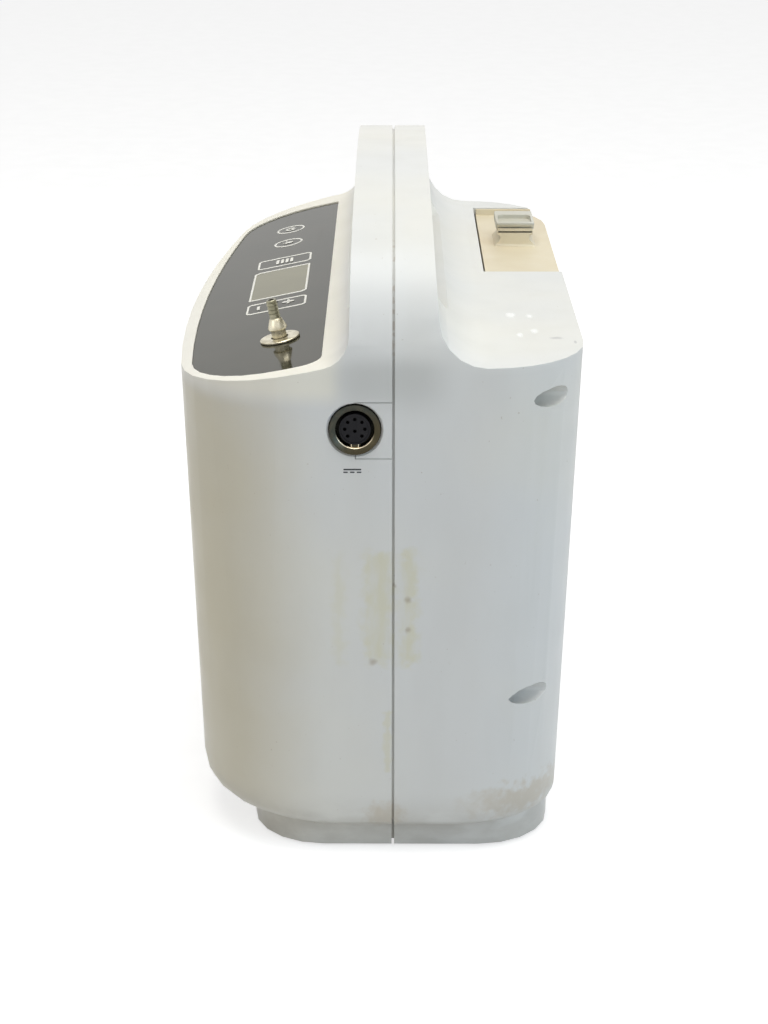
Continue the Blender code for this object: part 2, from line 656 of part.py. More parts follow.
def shoulder_cutter(name, side, inset):
    """Everything above one shoulder: its section beside the handle, pushed along the body."""
    top = HEIGHT + OVERRUN
    outer = side * (BODY_WIDTH / 2 + OVERRUN)
    if side > 0:
        level = REAR_SHOULDER_HEIGHT - inset
        corner = (handle_side_x(side, level, inset), level)
        far = (outer, level)
        radius = REAR_FILLET_RADIUS + inset
    else:
        fall = math.tan(FRONT_SHOULDER_ANGLE)
        level = FRONT_SHOULDER_HEIGHT - inset / math.cos(FRONT_SHOULDER_ANGLE)
        corner_x = handle_side_x(side, level, inset)
        corner = (corner_x, level + (corner_x + HANDLE_FRONT_REACH) * fall)
        far = (outer, level + (outer + HANDLE_FRONT_REACH) * fall)
        radius = FRONT_FILLET_RADIUS + inset
    up = (handle_side_x(side, top, inset), top)
    outline = [up] + rounded_corner(up, corner, far, radius, FILLET_STEPS) + [far, (outer, top)]
    ends = BODY_LENGTH / 2 + OVERRUN
    made = prism(name, outline, "Y", -ends, ends)
    if side < 0:
        shear = Matrix()
        shear[2][1] = math.tan(FRONT_SHOULDER_RISE_ANGLE)
        made.data.transform(shear)
    return made


def plinth_outline(inset):
    """The plan of the inset plinth."""
    return rounded_box_outline(
        (-BODY_WIDTH / 2 + PLINTH_FRONT_INSET + inset, -BODY_LENGTH / 2 + PLINTH_END_INSET + inset),
        (BODY_WIDTH / 2 - PLINTH_REAR_INSET - inset, BODY_LENGTH / 2 - PLINTH_END_INSET - inset),
        PLINTH_RADIUS - inset,
    )


def housing_form(name, inset):
    """The whole housing as one solid, drawn in by an inset: skin, lip and cavity all come from it."""
    rings = []
    for half_length, z in end_curve(inset):
        plan = plan_outline(
            front_wall_x(z, inset),
            rear_wall_x(z, inset),
            half_length,
            FRONT_CORNER_RADIUS - inset,
            REAR_CORNER_RADIUS - inset,
            FRONT_FACE_RADIUS,
        )
        rings.append([(x, y, z) for x, y in plan])
    form = loft(name + "_skin", rings)
    combine(form, shoulder_cutter(name + "_rear_shoulder", 1, inset))
    combine(form, shoulder_cutter(name + "_front_shoulder", -1, inset))
    slot = rounded_box_outline(
        (-SLOT_LENGTH / 2 - inset, SLOT_FLOOR_HEIGHT - inset),
        (SLOT_LENGTH / 2 + inset, SLOT_ROOF_HEIGHT + inset),
        SLOT_RADIUS + inset,
    )
    combine(form, prism(name + "_slot", slot, "X", -BODY_WIDTH / 2, BODY_WIDTH / 2))
    top = BASE_HEIGHT + inset + SEAM_GAP
    combine(form, prism(name + "_plinth", plinth_outline(inset), "Z", FOOT_PROUD + inset, top), "UNION")
    return baked(form, name)


skin = housing_form("skin_form", 0.0)
lip = housing_form("lip_form", LIP_DEPTH)
rebate = housing_form("rebate_form", LIP_DEPTH - FIT)
cavity = housing_form("cavity_form", WALL)
chassis_room = housing_form("chassis_form", WALL + FIT)
battery_room = housing_form("battery_form", WALL + BATTERY_SLACK)
insert_back = housing_form("insert_form", INSERT_THICKNESS)
insert_seat = housing_form("insert_seat_form", INSERT_THICKNESS + FIT)
filter_back = housing_form("filter_form", WALL + FIT + FILTER_THICKNESS)

FRONT_SEAM = SEAM_X - SEAM_GAP / 2
REAR_SEAM = SEAM_X + SEAM_GAP / 2
FAR = BODY_LENGTH / 2 + OVERRUN
OUT = BODY_WIDTH / 2 + OVERRUN
UP = HEIGHT + OVERRUN

WHITE = material("white_plastic", WHITE_PLASTIC, 0.45)
OVERLAY = material("panel_film", PANEL_GREY, 0.22)
AGED = material("aged_plastic", AGED_PLASTIC, 0.5)
CAP = material("cap_plastic", CAP_PLASTIC, 0.45)
GLASS = material("display", DISPLAY_GREEN, 0.15)
NICKEL = material("barb_metal", BARB_METAL, 0.35, 0.7)
RING = material("ring_metal", RING_METAL, 0.35, 0.8)
BLACK = material("black_plastic", BLACK_PLASTIC, 0.4)
GREY = material("grey_plastic", GREY_PLASTIC, 0.5)
CASTING = material("cast_metal", CAST_METAL, 0.5, 0.9)
STEEL = material("steel", CAST_METAL, 0.3, 1.0)
BOARD = material("circuit_board", BOARD_GREEN, 0.5)
SILICONE = material("silicone", TUBE_WHITE, 0.4)
RUBBER = material("rubber", BLACK_PLASTIC, 0.8)
FOAM = material("foam", GREY_PLASTIC, 0.95)


# Control panel frame: its Z axis is the front shoulder's outward normal

def shoulder_z(x, y):
    """Height of the front shoulder's flat at a place."""
    fall = math.tan(FRONT_SHOULDER_ANGLE)
    rise = math.tan(FRONT_SHOULDER_RISE_ANGLE)
    return FRONT_SHOULDER_HEIGHT + (x + HANDLE_FRONT_REACH) * fall + y * rise


panel_normal = Vector((-math.tan(FRONT_SHOULDER_ANGLE), -math.tan(FRONT_SHOULDER_RISE_ANGLE), 1)).normalized()
panel_x = Vector((1, 0, math.tan(FRONT_SHOULDER_ANGLE))).normalized()
panel_y = panel_normal.cross(panel_x)
panel_frame = bpy.data.objects.new("panel_frame", None)
parts.objects.link(panel_frame)
panel_turn = Matrix((panel_x, panel_y, panel_normal)).transposed().to_4x4()
panel_place = Matrix.Translation((KEY_CENTRE_X, 0, shoulder_z(KEY_CENTRE_X, 0))) @ panel_turn
panel_frame.matrix_world = panel_place


def on_panel(x, y):
    """Plan coordinates as coordinates in the panel's own plane."""
    local = panel_place.inverted() @ Vector((x, y, shoulder_z(x, y)))
    return (local.x, local.y)


def set_on_panel(thing, spot=(0, 0)):
    """Parents a thing to the panel's frame at a place on it."""
    thing.parent = panel_frame
    thing.location = (spot[0], spot[1], 0)
    return thing


def panel_outline(grow):
    """The D-shaped edge of the overlay in the panel's plane, grown by a gap."""
    plan = plan_outline(
        -BODY_WIDTH / 2 + PANEL_FRONT_MARGIN,
        BODY_WIDTH / 2,
        BODY_LENGTH / 2 - (PANEL_NEAR_MARGIN + PANEL_FAR_MARGIN) / 2,
        PANEL_RADIUS,
        PANEL_RADIUS,
        PANEL_FACE_RADIUS,
    )
    shift = (PANEL_NEAR_MARGIN - PANEL_FAR_MARGIN) / 2
    left = [(x, y + shift) for x, y in plan if x < PANEL_INNER_X]
    near = (PANEL_INNER_X, -BODY_LENGTH / 2 + PANEL_NEAR_MARGIN)
    far = (PANEL_INNER_X, BODY_LENGTH / 2 - PANEL_FAR_MARGIN)
    inner = rounded_corner(left[-1], near, far, PANEL_INNER_RADIUS, FILLET_STEPS)
    flat = [on_panel(x, y) for x, y in [far] + left + inner]
    if not grow:
        return flat
    middle = sum((Vector(p) for p in flat), Vector((0, 0))) / len(flat)
    reach = max((Vector(p) - middle).length for p in flat)
    return [tuple(middle + (Vector(p) - middle) * (1 + 2 * grow / reach)) for p in flat]


def key_outline(shape, grow):
    """A key's edge about its own centre."""
    if shape == "round":
        return arc((0, 0), ROUND_KEY_RADIUS + grow, 0, 2 * math.pi, ROUND_STEPS)[:-1]
    width, length = {
        "mode": (MODE_KEY_WIDTH, MODE_KEY_LENGTH),
        "flow": (FLOW_KEY_WIDTH, FLOW_KEY_LENGTH),
    }[shape]
    return rounded_box_outline(
        (-width / 2 - grow, -length / 2 - grow), (width / 2 + grow, length / 2 + grow), KEY_CORNER_RADIUS + grow, 4
    )


FLOW_PITCH = FLOW_KEY_WIDTH + FIT * 4
KEYS = {
    "key_power": ("round", KEY_CENTRE_X, POWER_KEY_Y),
    "key_alarm": ("round", KEY_CENTRE_X, ALARM_KEY_Y),
    "key_mode": ("mode", KEY_CENTRE_X, MODE_KEY_Y),
    "key_minus": ("flow", KEY_CENTRE_X - FLOW_PITCH / 2, FLOW_KEY_Y),
    "key_plus": ("flow", KEY_CENTRE_X + FLOW_PITCH / 2, FLOW_KEY_Y),
}
OVERLAY_TOP = -(PANEL_SEAT_DEPTH - FIT - OVERLAY_THICKNESS)
OVERLAY_BACK = OVERLAY_TOP - OVERLAY_THICKNESS
SWITCH_TOP = OVERLAY_TOP - KEY_HEIGHT - KEY_TRAVEL - FIT
DISPLAY_BOARD_TOP = SWITCH_TOP - SWITCH_HEIGHT
BARB_SPOT = on_panel(BARB_X, BARB_Y)


def window_outline(grow):
    """The display window's edge with two opposite corners cut off."""
    x = WINDOW_WIDTH / 2 + grow
    y = WINDOW_LENGTH / 2 + grow
    c = WINDOW_CHAMFER
    return [(x, -y + c), (x, y), (-x + c, y), (-x, y - c), (-x, -y), (x - c, -y)]


WINDOW_SPOT = on_panel(KEY_CENTRE_X, WINDOW_Y)


def key_spot(name):
    """A key's centre in the panel's plane."""
    shape, x, y = KEYS[name]
    return on_panel(x, y)


def cut_panel_holes(target, low, high, tag, window_grow):
    """Cuts the keys', window's and outlet's holes between two depths below the shoulder."""
    for name, (shape, x, y) in KEYS.items():
        hole = prism(f"{tag}_{name}", key_outline(shape, FIT), "Z", low, high)
        combine(target, set_on_panel(hole, key_spot(name)))
    opening = prism(f"{tag}_window", window_outline(window_grow), "Z", low, high)
    combine(target, set_on_panel(opening, WINDOW_SPOT))
    bore = rod(f"{tag}_outlet", BARB_NECK_RADIUS + FIT, low, high)
    combine(target, set_on_panel(bore, BARB_SPOT))


# Power socket frame: its Z axis is the near end wall's outward normal

socket_frame = bpy.data.objects.new("socket_frame", None)
parts.objects.link(socket_frame)
socket_tilt = Matrix.Rotation(math.pi / 2 + END_DRAFT_ANGLE, 4, "X")
socket_place = Matrix.Translation((SOCKET_X, -end_wall_y(SOCKET_HEIGHT), SOCKET_HEIGHT)) @ socket_tilt
socket_frame.matrix_world = socket_place


def set_in_socket(thing):
    """Parents a thing to the socket's frame."""
    thing.parent = socket_frame
    return thing


def well_places():
    """Each case screw's end (-1 near, 1 far) and height."""
    return [
        (-1, UPPER_WELL_HEIGHT),
        (-1, LOWER_WELL_HEIGHT),
        (1, FAR_UPPER_WELL_HEIGHT),
        (1, LOWER_WELL_HEIGHT),
    ]


def well_y(end, z):
    """Y of a case screw at a height: the wells lean in with the end wall."""
    return end * (BODY_LENGTH / 2 - WELL_END_INSET - (REAR_SHOULDER_HEIGHT - z) * math.tan(WELL_LEAN_ANGLE))


def oval(name, centre, length, height, low, high):
    """An elliptic bar along X."""
    points = [
        (centre[0] + length / 2 * math.cos(a), centre[1] + height / 2 * math.sin(a))
        for a in (2 * math.pi * i / ROUND_STEPS for i in range(ROUND_STEPS))
    ]
    return prism(name, points, "X", low, high)


def keep_posts(hollow, tag):
    """Leaves the screw posts and well walls standing in a hollow."""
    for i, (end, z) in enumerate(well_places()):
        spot = (well_y(end, z), z)
        combine(hollow, rod(f"{tag}_post_{i}", POST_RADIUS, -OUT, OUT, "X", spot, steps=ROUND_STEPS // 2))
        wall = oval(
            f"{tag}_well_wall_{i}",
            spot,
            WELL_LENGTH + 2 * WELL_WALL,
            WELL_HEIGHT + 2 * WELL_WALL,
            WELL_FLOOR_X - WALL,
            OUT,
        )
        combine(hollow, wall)


def inlet_cutter(name, grow, inner=0.0):
    """The air inlet's opening as a bar along X."""
    low = (INLET_Y - INLET_LENGTH / 2 - grow + inner, INLET_HEIGHT - INLET_RISE / 2 - grow + inner)
    high = (INLET_Y + INLET_LENGTH / 2 + grow - inner, INLET_HEIGHT + INLET_RISE / 2 + grow - inner)
    return prism(name, rounded_box_outline(low, high, INLET_RADIUS + grow - inner / 2, 4), "X", -OUT, -BODY_WIDTH / 4)


CHASSIS_TOP = BASE_HEIGHT + WALL + FIT + CHASSIS_PLATE
FAN_HEIGHT = CHASSIS_TOP + FIT + FAN_SIZE / 2
FAN_FAR_Y = end_wall_y(CHASSIS_TOP, WALL) - FAN_WALL_GAP


def exhaust_outline(grow):
    """The exhaust insert's edge in X and Z."""
    half = FAN_SIZE / 2 - EXHAUST_MARGIN
    return rounded_box_outline(
        (FAN_X - half - grow, FAN_HEIGHT - half - grow),
        (FAN_X + half + grow, FAN_HEIGHT + half + grow),
        EXHAUST_FRAME,
        4,
    )


def socket_hole(name):
    """The bore of the socket with its countersink."""
    bore = SOCKET_RADIUS + FIT
    hole = turned(
        name,
        [
            (0, SOCKET_SEAT_DEPTH),
            (2 * SOCKET_SEAT_RADIUS - bore, SOCKET_SEAT_DEPTH),
            (bore, -SOCKET_SEAT_DEPTH),
            (bore, -WALL * 2),
            (0, -WALL * 2),
        ],
    )
    return set_in_socket(hole)


def insert_room(name, gap):
    """The bar through the near end wall that holds the insert between the socket and the seam."""
    return box(
        name,
        (SOCKET_X + gap, -FAR, SOCKET_HEIGHT - INSERT_DROP - INSERT_HEIGHT / 2 + gap),
        (FRONT_SEAM + OVERRUN - gap, -BODY_LENGTH / 4, SOCKET_HEIGHT - INSERT_DROP + INSERT_HEIGHT / 2 - gap),
    )


def make_front_shell():
    """The control panel half, with a lip that the other half closes over."""
    block = box("front_half", (-OUT, -FAR, -OVERRUN), (REAR_SEAM + LIP_REACH, FAR, UP))
    combine(block, skin, "INTERSECT")
    outside_lip = box("outside_lip", (FRONT_SEAM, -FAR, -OVERRUN), (OUT, FAR, UP))
    combine(outside_lip, lip)
    combine(block, outside_lip)
    hollow = box("front_hollow", (-OUT, -FAR, -OVERRUN), (OUT, FAR, UP))
    combine(hollow, cavity, "INTERSECT")
    keep_posts(hollow, "front")
    for i, spot in enumerate(display_posts()):
        post = rod(f"display_post_{i}", DISPLAY_POST_RADIUS, DISPLAY_BOARD_TOP + FIT, OVERRUN, steps=COARSE_STEPS)
        combine(hollow, set_on_panel(post, spot))
    combine(block, hollow)
    past_lip = box("past_lip_posts", (FRONT_SEAM, -FAR, BASE_HEIGHT + WALL + OVERRUN), (OUT, FAR, SLOT_FLOOR_HEIGHT - WALL - OVERRUN))
    lip_core = combine(past_lip, cavity, "INTERSECT")
    combine(block, lip_core)
    seat = prism("panel_seat", panel_outline(FIT), "Z", -PANEL_SEAT_DEPTH, OVERRUN)
    combine(block, set_on_panel(seat))
    cut_panel_holes(block, -WALL * 3, 0, "shell", -WINDOW_LEDGE)
    combine(block, socket_hole("socket_hole"))
    pocket = insert_room("insert_pocket", 0)
    combine(pocket, insert_seat)
    combine(block, pocket)
    combine(block, inlet_cutter("inlet_hole", FIT))
    for i, (end, z) in enumerate(well_places()):
        pilot = rod(f"pilot_{i}", SCREW_RADIUS + FIT, FRONT_SEAM - SCREW_BITE - OVERRUN, OUT, "X", (well_y(end, z), z), steps=COARSE_STEPS)
        combine(block, pilot)
    cut_foot_seats(block, -1)
    return dress(baked(block, "front_shell", parts), WHITE)


def make_rear_shell():
    """The battery half, with its screw wells and the battery's way in."""
    block = box("rear_half", (REAR_SEAM, -FAR, -OVERRUN), (OUT, FAR, UP))
    combine(block, skin, "INTERSECT")
    hollow = box("rear_hollow", (-OUT, -FAR, -OVERRUN), (OUT, FAR, UP))
    combine(hollow, cavity, "INTERSECT")
    keep_posts(hollow, "rear")
    combine(block, hollow)
    groove = box("lip_groove", (-OUT, -FAR, -OVERRUN), (REAR_SEAM + LIP_REACH + FIT, FAR, UP))
    combine(groove, rebate, "INTERSECT")
    combine(block, groove)
    mouth_low = BATTERY_TOP - DECK_LIP_HEIGHT
    mouth = box("battery_mouth", (DECK_FRONT_X, DECK_NEAR_Y, mouth_low), (OUT, DECK_FAR_Y, UP))
    combine(block, mouth)
    combine(block, prism("exhaust_hole", exhaust_outline(FIT), "Y", BODY_LENGTH / 4, FAR))
    for i, (end, z) in enumerate(well_places()):
        spot = (well_y(end, z), z)
        combine(block, oval(f"well_{i}", spot, WELL_LENGTH, WELL_HEIGHT, WELL_FLOOR_X, OUT))
        combine(block, rod(f"screw_way_{i}", SCREW_RADIUS + FIT, 0, OUT, "X", spot, steps=COARSE_STEPS))
    cut_foot_seats(block, 1)
    return dress(baked(block, "rear_shell", parts), WHITE)


def foot_places():
    """Feet near the plinth's corners: their centres and the half they are set in."""
    front = -BODY_WIDTH / 2 + PLINTH_FRONT_INSET + FOOT_MARGIN
    rear = BODY_WIDTH / 2 - PLINTH_REAR_INSET - FOOT_MARGIN
    end = BODY_LENGTH / 2 - PLINTH_END_INSET - FOOT_MARGIN
    return [(front, -end, -1), (front, end, -1), (rear, -end, 1), (rear, end, 1)]


def cut_foot_seats(block, half):
    """Sinks the round seats of one half's feet."""
    seat_top = FOOT_THICKNESS + FIT
    for i, (x, y, side) in enumerate(foot_places()):
        if side == half:
            combine(block, rod(f"foot_seat_{i}", FOOT_RADIUS + FIT, -OVERRUN, seat_top, "Z", (x, y)))


def make_feet():
    """Four rubber feet with a chamfered rim."""
    for i, (x, y, side) in enumerate(foot_places()):
        chamfer = FOOT_PROUD / 2
        profile = [
            (0, FOOT_THICKNESS),
            (FOOT_RADIUS, FOOT_THICKNESS),
            (FOOT_RADIUS, chamfer),
            (FOOT_RADIUS - chamfer, 0),
            (0, 0),
        ]
        foot = dress(turned(f"foot_{i + 1}", profile, parts, ROUND_STEPS), RUBBER)
        foot.location = (x, y, 0)


def make_screws():
    """Long case screws with a hexagonal recess in their heads."""
    for i, (end, z) in enumerate(well_places()):
        y = well_y(end, z)
        seat = WELL_FLOOR_X + FIT
        head = rod(f"head_{i}", SCREW_HEAD_RADIUS, seat, seat + SCREW_HEAD_HEIGHT, "X", (y, z))
        shank = rod(f"shank_{i}", SCREW_RADIUS, FRONT_SEAM - SCREW_BITE, seat + FIT, "X", (y, z), steps=COARSE_STEPS)
        drive = rod(f"drive_{i}", SCREW_RECESS_RADIUS, seat + SCREW_HEAD_HEIGHT / 2, OUT, "X", (y, z), steps=6)
        combine(head, shank, "UNION")
        combine(head, drive)
        dress(baked(head, f"case_screw_{i + 1}", parts), STEEL)


def make_overlay():
    """The dark film of the control panel with its holes."""
    film = prism("overlay_blank", panel_outline(0), "Z", OVERLAY_BACK, OVERLAY_TOP)
    set_on_panel(film)
    cut_panel_holes(film, OVERLAY_BACK - OVERRUN, OVERRUN, "film", FIT)
    dress(baked(film, "control_overlay", parts), OVERLAY)


def make_keys():
    """Five push keys: the film's cap and the plunger under it are one piece."""
    for name, (shape, x, y) in KEYS.items():
        key = prism(name, key_outline(shape, 0), "Z", OVERLAY_TOP - KEY_HEIGHT, OVERLAY_TOP, parts)
        dress(set_on_panel(key, key_spot(name)), OVERLAY)


def make_display():
    """The window in its ledge and the display module under it."""
    window = prism("lcd_window", window_outline(0), "Z", -PANEL_SEAT_DEPTH + FIT, OVERLAY_TOP, parts)
    dress(set_on_panel(window, WINDOW_SPOT), GLASS)
    module = prism("lcd_module", window_outline(-WINDOW_LEDGE - FIT), "Z", DISPLAY_BOARD_TOP + FIT, -PANEL_SEAT_DEPTH, parts)
    dress(set_on_panel(module, WINDOW_SPOT), GREY)


def display_board_ends():
    """Low and high corners of the display board in the panel's plane."""
    half = MODE_KEY_WIDTH / 2 + DISPLAY_BOARD_MARGIN
    near = key_spot("key_minus")[1] - FLOW_KEY_LENGTH / 2 - DISPLAY_BOARD_MARGIN
    far = key_spot("key_power")[1] + ROUND_KEY_RADIUS + DISPLAY_BOARD_MARGIN
    return (-half, near), (half, far)


def display_posts():
    """Where the shell's four posts meet the display board."""
    low, high = display_board_ends()
    inset = DISPLAY_POST_RADIUS
    return [(x, y) for x in (low[0] + inset, high[0] - inset) for y in (low[1] + inset, high[1] - inset)]


def make_display_board():
    """The board under the panel, with a switch under each key."""
    low, high = display_board_ends()
    back = DISPLAY_BOARD_TOP - BOARD_THICKNESS
    board = box("display_board_blank", (*low, back), (*high, DISPLAY_BOARD_TOP))
    set_on_panel(board)
    for name in KEYS:
        switch = rod(f"switch_{name}", SWITCH_RADIUS, DISPLAY_BOARD_TOP - BOARD_THICKNESS / 2, SWITCH_TOP, steps=COARSE_STEPS)
        combine(board, set_on_panel(switch, key_spot(name)), "UNION")
    dress(baked(board, "display_board", parts), BOARD)
    speaker = turned(
        "speaker",
        [
            (0, back - FIT),
            (SPEAKER_RADIUS, back - FIT),
            (SPEAKER_RADIUS, back - FIT - SPEAKER_HEIGHT / 2),
            (SPEAKER_RADIUS - SPEAKER_HEIGHT / 2, back - FIT - SPEAKER_HEIGHT),
            (0, back - FIT - SPEAKER_HEIGHT),
        ],
        parts,
        ROUND_STEPS,
    )
    dress(set_on_panel(speaker, key_spot("key_alarm")), BLACK)


def barb_profile():
    """The nozzle's outline, down its outer side from the tip, then up its bore."""
    seat = OVERLAY_TOP + FIT + WASHER_THICKNESS
    neck_top = seat + BARB_NECK_HEIGHT
    cone_top = neck_top + BARB_CONE_HEIGHT
    tip = cone_top + BARB_STEM_HEIGHT
    points = [(BARB_STEM_RADIUS - BARB_RIB_RISE, tip)]
    rib = BARB_STEM_HEIGHT / (2 * BARB_RIBS)
    for i in range(BARB_RIBS):
        top = tip - 2 * i * rib - rib / 2
        points += [(BARB_STEM_RADIUS, top - rib / 2), (BARB_STEM_RADIUS + BARB_RIB_RISE, top - rib)]
        points += [(BARB_STEM_RADIUS, top - rib - FIT)]
    foot = -WALL - FIT - NUT_THICKNESS
    points += [
        (BARB_STEM_RADIUS, cone_top),
        (BARB_CONE_RADIUS, neck_top),
        (BARB_NECK_RADIUS, neck_top - FIT),
        (BARB_NECK_RADIUS, foot),
        (BARB_STEM_RADIUS, foot - FIT),
        (BARB_STEM_RADIUS, -BARB_SHANK_LENGTH),
        (BARB_BORE_RADIUS, -BARB_SHANK_LENGTH),
        (BARB_BORE_RADIUS, tip),
    ]
    return points


def make_outlet():
    """The barbed nozzle, its washer on the film and its nut under the wall."""
    barb = turned("outlet_barb", barb_profile(), parts, ROUND_STEPS)
    dress(set_on_panel(barb, BARB_SPOT), NICKEL)
    low = OVERLAY_TOP + FIT
    hole = BARB_NECK_RADIUS + FIT
    high = low + WASHER_THICKNESS
    edge = WASHER_THICKNESS / 4
    washer = turned(
        "barb_washer",
        [
            (hole, high),
            (WASHER_RADIUS - edge, high),
            (WASHER_RADIUS, high - edge),
            (WASHER_RADIUS, low),
            (hole, low),
        ],
        parts,
    )
    dress(set_on_panel(washer, BARB_SPOT), NICKEL)
    top = -WALL - FIT
    nut = rod("nut_blank", NUT_RADIUS, top - NUT_THICKNESS, top, steps=6)
    set_on_panel(nut, BARB_SPOT)
    bore = set_on_panel(rod("nut_bore", hole, top - NUT_THICKNESS - OVERRUN, top + OVERRUN), BARB_SPOT)
    combine(nut, bore)
    dress(baked(nut, "barb_nut", parts), CASTING)


def make_socket():
    """The round power socket: bevelled ring and barrel, insulator with its contact holes, and the insert beside it."""
    cup_wall = SOCKET_CUP_RADIUS - SOCKET_MOUTH_RADIUS
    shell = turned(
        "socket_shell_blank",
        [
            (SOCKET_RADIUS, FIT),
            (SOCKET_RADIUS, -WALL - FIT),
            (SOCKET_CUP_RADIUS, -WALL - FIT),
            (SOCKET_CUP_RADIUS, -SOCKET_CUP_DEPTH - cup_wall),
            (SOCKET_BARREL_RADIUS, -SOCKET_CUP_DEPTH - cup_wall),
            (SOCKET_BARREL_RADIUS, -SOCKET_BARREL_LENGTH),
            (SOCKET_CORE_RADIUS + FIT, -SOCKET_BARREL_LENGTH),
            (SOCKET_CORE_RADIUS + FIT, -SOCKET_CUP_DEPTH),
            (SOCKET_MOUTH_RADIUS, -SOCKET_CUP_DEPTH),
            (SOCKET_MOUTH_RADIUS, -SOCKET_BEVEL_DEPTH),
            (SOCKET_RADIUS - FIT, FIT),
        ],
    )
    set_in_socket(shell)
    tab = box(
        "socket_key",
        (-SOCKET_KEY_WIDTH / 2, -SOCKET_MOUTH_RADIUS - cup_wall / 2, -SOCKET_CUP_DEPTH - cup_wall / 2),
        (SOCKET_KEY_WIDTH / 2, -SOCKET_MOUTH_RADIUS + SOCKET_KEY_HEIGHT, -SOCKET_BEVEL_DEPTH - cup_wall / 2),
    )
    combine(shell, set_in_socket(tab), "UNION")
    dress(baked(shell, "dc_socket_shell", parts), RING)
    face = -CORE_RECESS
    core = rod("core_blank", SOCKET_CORE_RADIUS, face - CORE_LENGTH, face, steps=FINE_STEPS)
    set_in_socket(core)
    holes = [(0.0, 0.0)]
    for i in range(CONTACT_COUNT):
        turn = 2 * math.pi * i / CONTACT_COUNT + math.pi / 2
        holes.append((CONTACT_CIRCLE_RADIUS * math.cos(turn), CONTACT_CIRCLE_RADIUS * math.sin(turn)))
    for i, spot in enumerate(holes):
        hole = rod(f"contact_hole_{i}", CONTACT_RADIUS, face - CONTACT_DEPTH, face + OVERRUN, "Z", spot, steps=COARSE_STEPS)
        combine(core, set_in_socket(hole))
    dress(baked(core, "dc_socket_core", parts), BLACK)
    insert = insert_room("insert_blank", FIT)
    combine(insert, skin, "INTERSECT")
    combine(insert, insert_back)
    end = box("insert_end", (FRONT_SEAM, -FAR, 0), (OUT, FAR, UP))
    combine(insert, end)
    combine(insert, socket_hole("insert_ring"))
    dress(baked(insert, "socket_insert", parts), WHITE)


def make_battery_bay():
    """The tray in the rear shell that guides the battery, with a wider collar for its deck."""
    mouth_low = BATTERY_TOP - DECK_LIP_HEIGHT
    low_y = DECK_NEAR_Y + BATTERY_SETBACK
    high_y = DECK_FAR_Y - BATTERY_SETBACK
    collar = box(
        "bay_collar",
        (DECK_FRONT_X - BAY_WALL, DECK_NEAR_Y - BAY_WALL, mouth_low - FIT - BAY_WALL),
        (OUT, DECK_FAR_Y + BAY_WALL, REAR_SHOULDER_HEIGHT - WALL - FIT),
    )
    tray = box(
        "bay_tray",
        (DECK_FRONT_X - BAY_WALL, low_y - BAY_WALL, BAY_FLOOR_HEIGHT - BAY_WALL),
        (OUT, high_y + BAY_WALL, mouth_low),
    )
    combine(collar, tray, "UNION")
    combine(collar, chassis_room, "INTERSECT")
    combine(collar, box("deck_room", (DECK_FRONT_X, DECK_NEAR_Y, mouth_low - FIT), (OUT, DECK_FAR_Y, UP)))
    combine(collar, box("case_room", (DECK_FRONT_X, low_y, BAY_FLOOR_HEIGHT), (OUT, high_y, UP)))
    dress(baked(collar, "battery_bay", parts), GREY)
    middle_x = DECK_FRONT_X + CONNECTOR_WIDTH
    middle_y = (low_y + high_y) / 2
    floor = BAY_FLOOR_HEIGHT + FIT
    block = box(
        "connector_block",
        (middle_x - CONNECTOR_WIDTH / 2, middle_y - CONNECTOR_LENGTH / 2, floor),
        (middle_x + CONNECTOR_WIDTH / 2, middle_y + CONNECTOR_LENGTH / 2, floor + CONNECTOR_HEIGHT),
    )
    for i in range(CONTACT_BLADES):
        y = middle_y + (i - (CONTACT_BLADES - 1) / 2) * CONNECTOR_LENGTH / CONTACT_BLADES
        blade = box(
            f"blade_{i}",
            (middle_x - BLADE_WIDTH / 2, y - BLADE_THICKNESS / 2, floor + CONNECTOR_HEIGHT / 2),
            (middle_x + BLADE_WIDTH / 2, y + BLADE_THICKNESS / 2, floor + CONNECTOR_HEIGHT + BLADE_HEIGHT),
        )
        combine(block, blade, "UNION")
    dress(baked(block, "battery_connector", parts), BLACK)


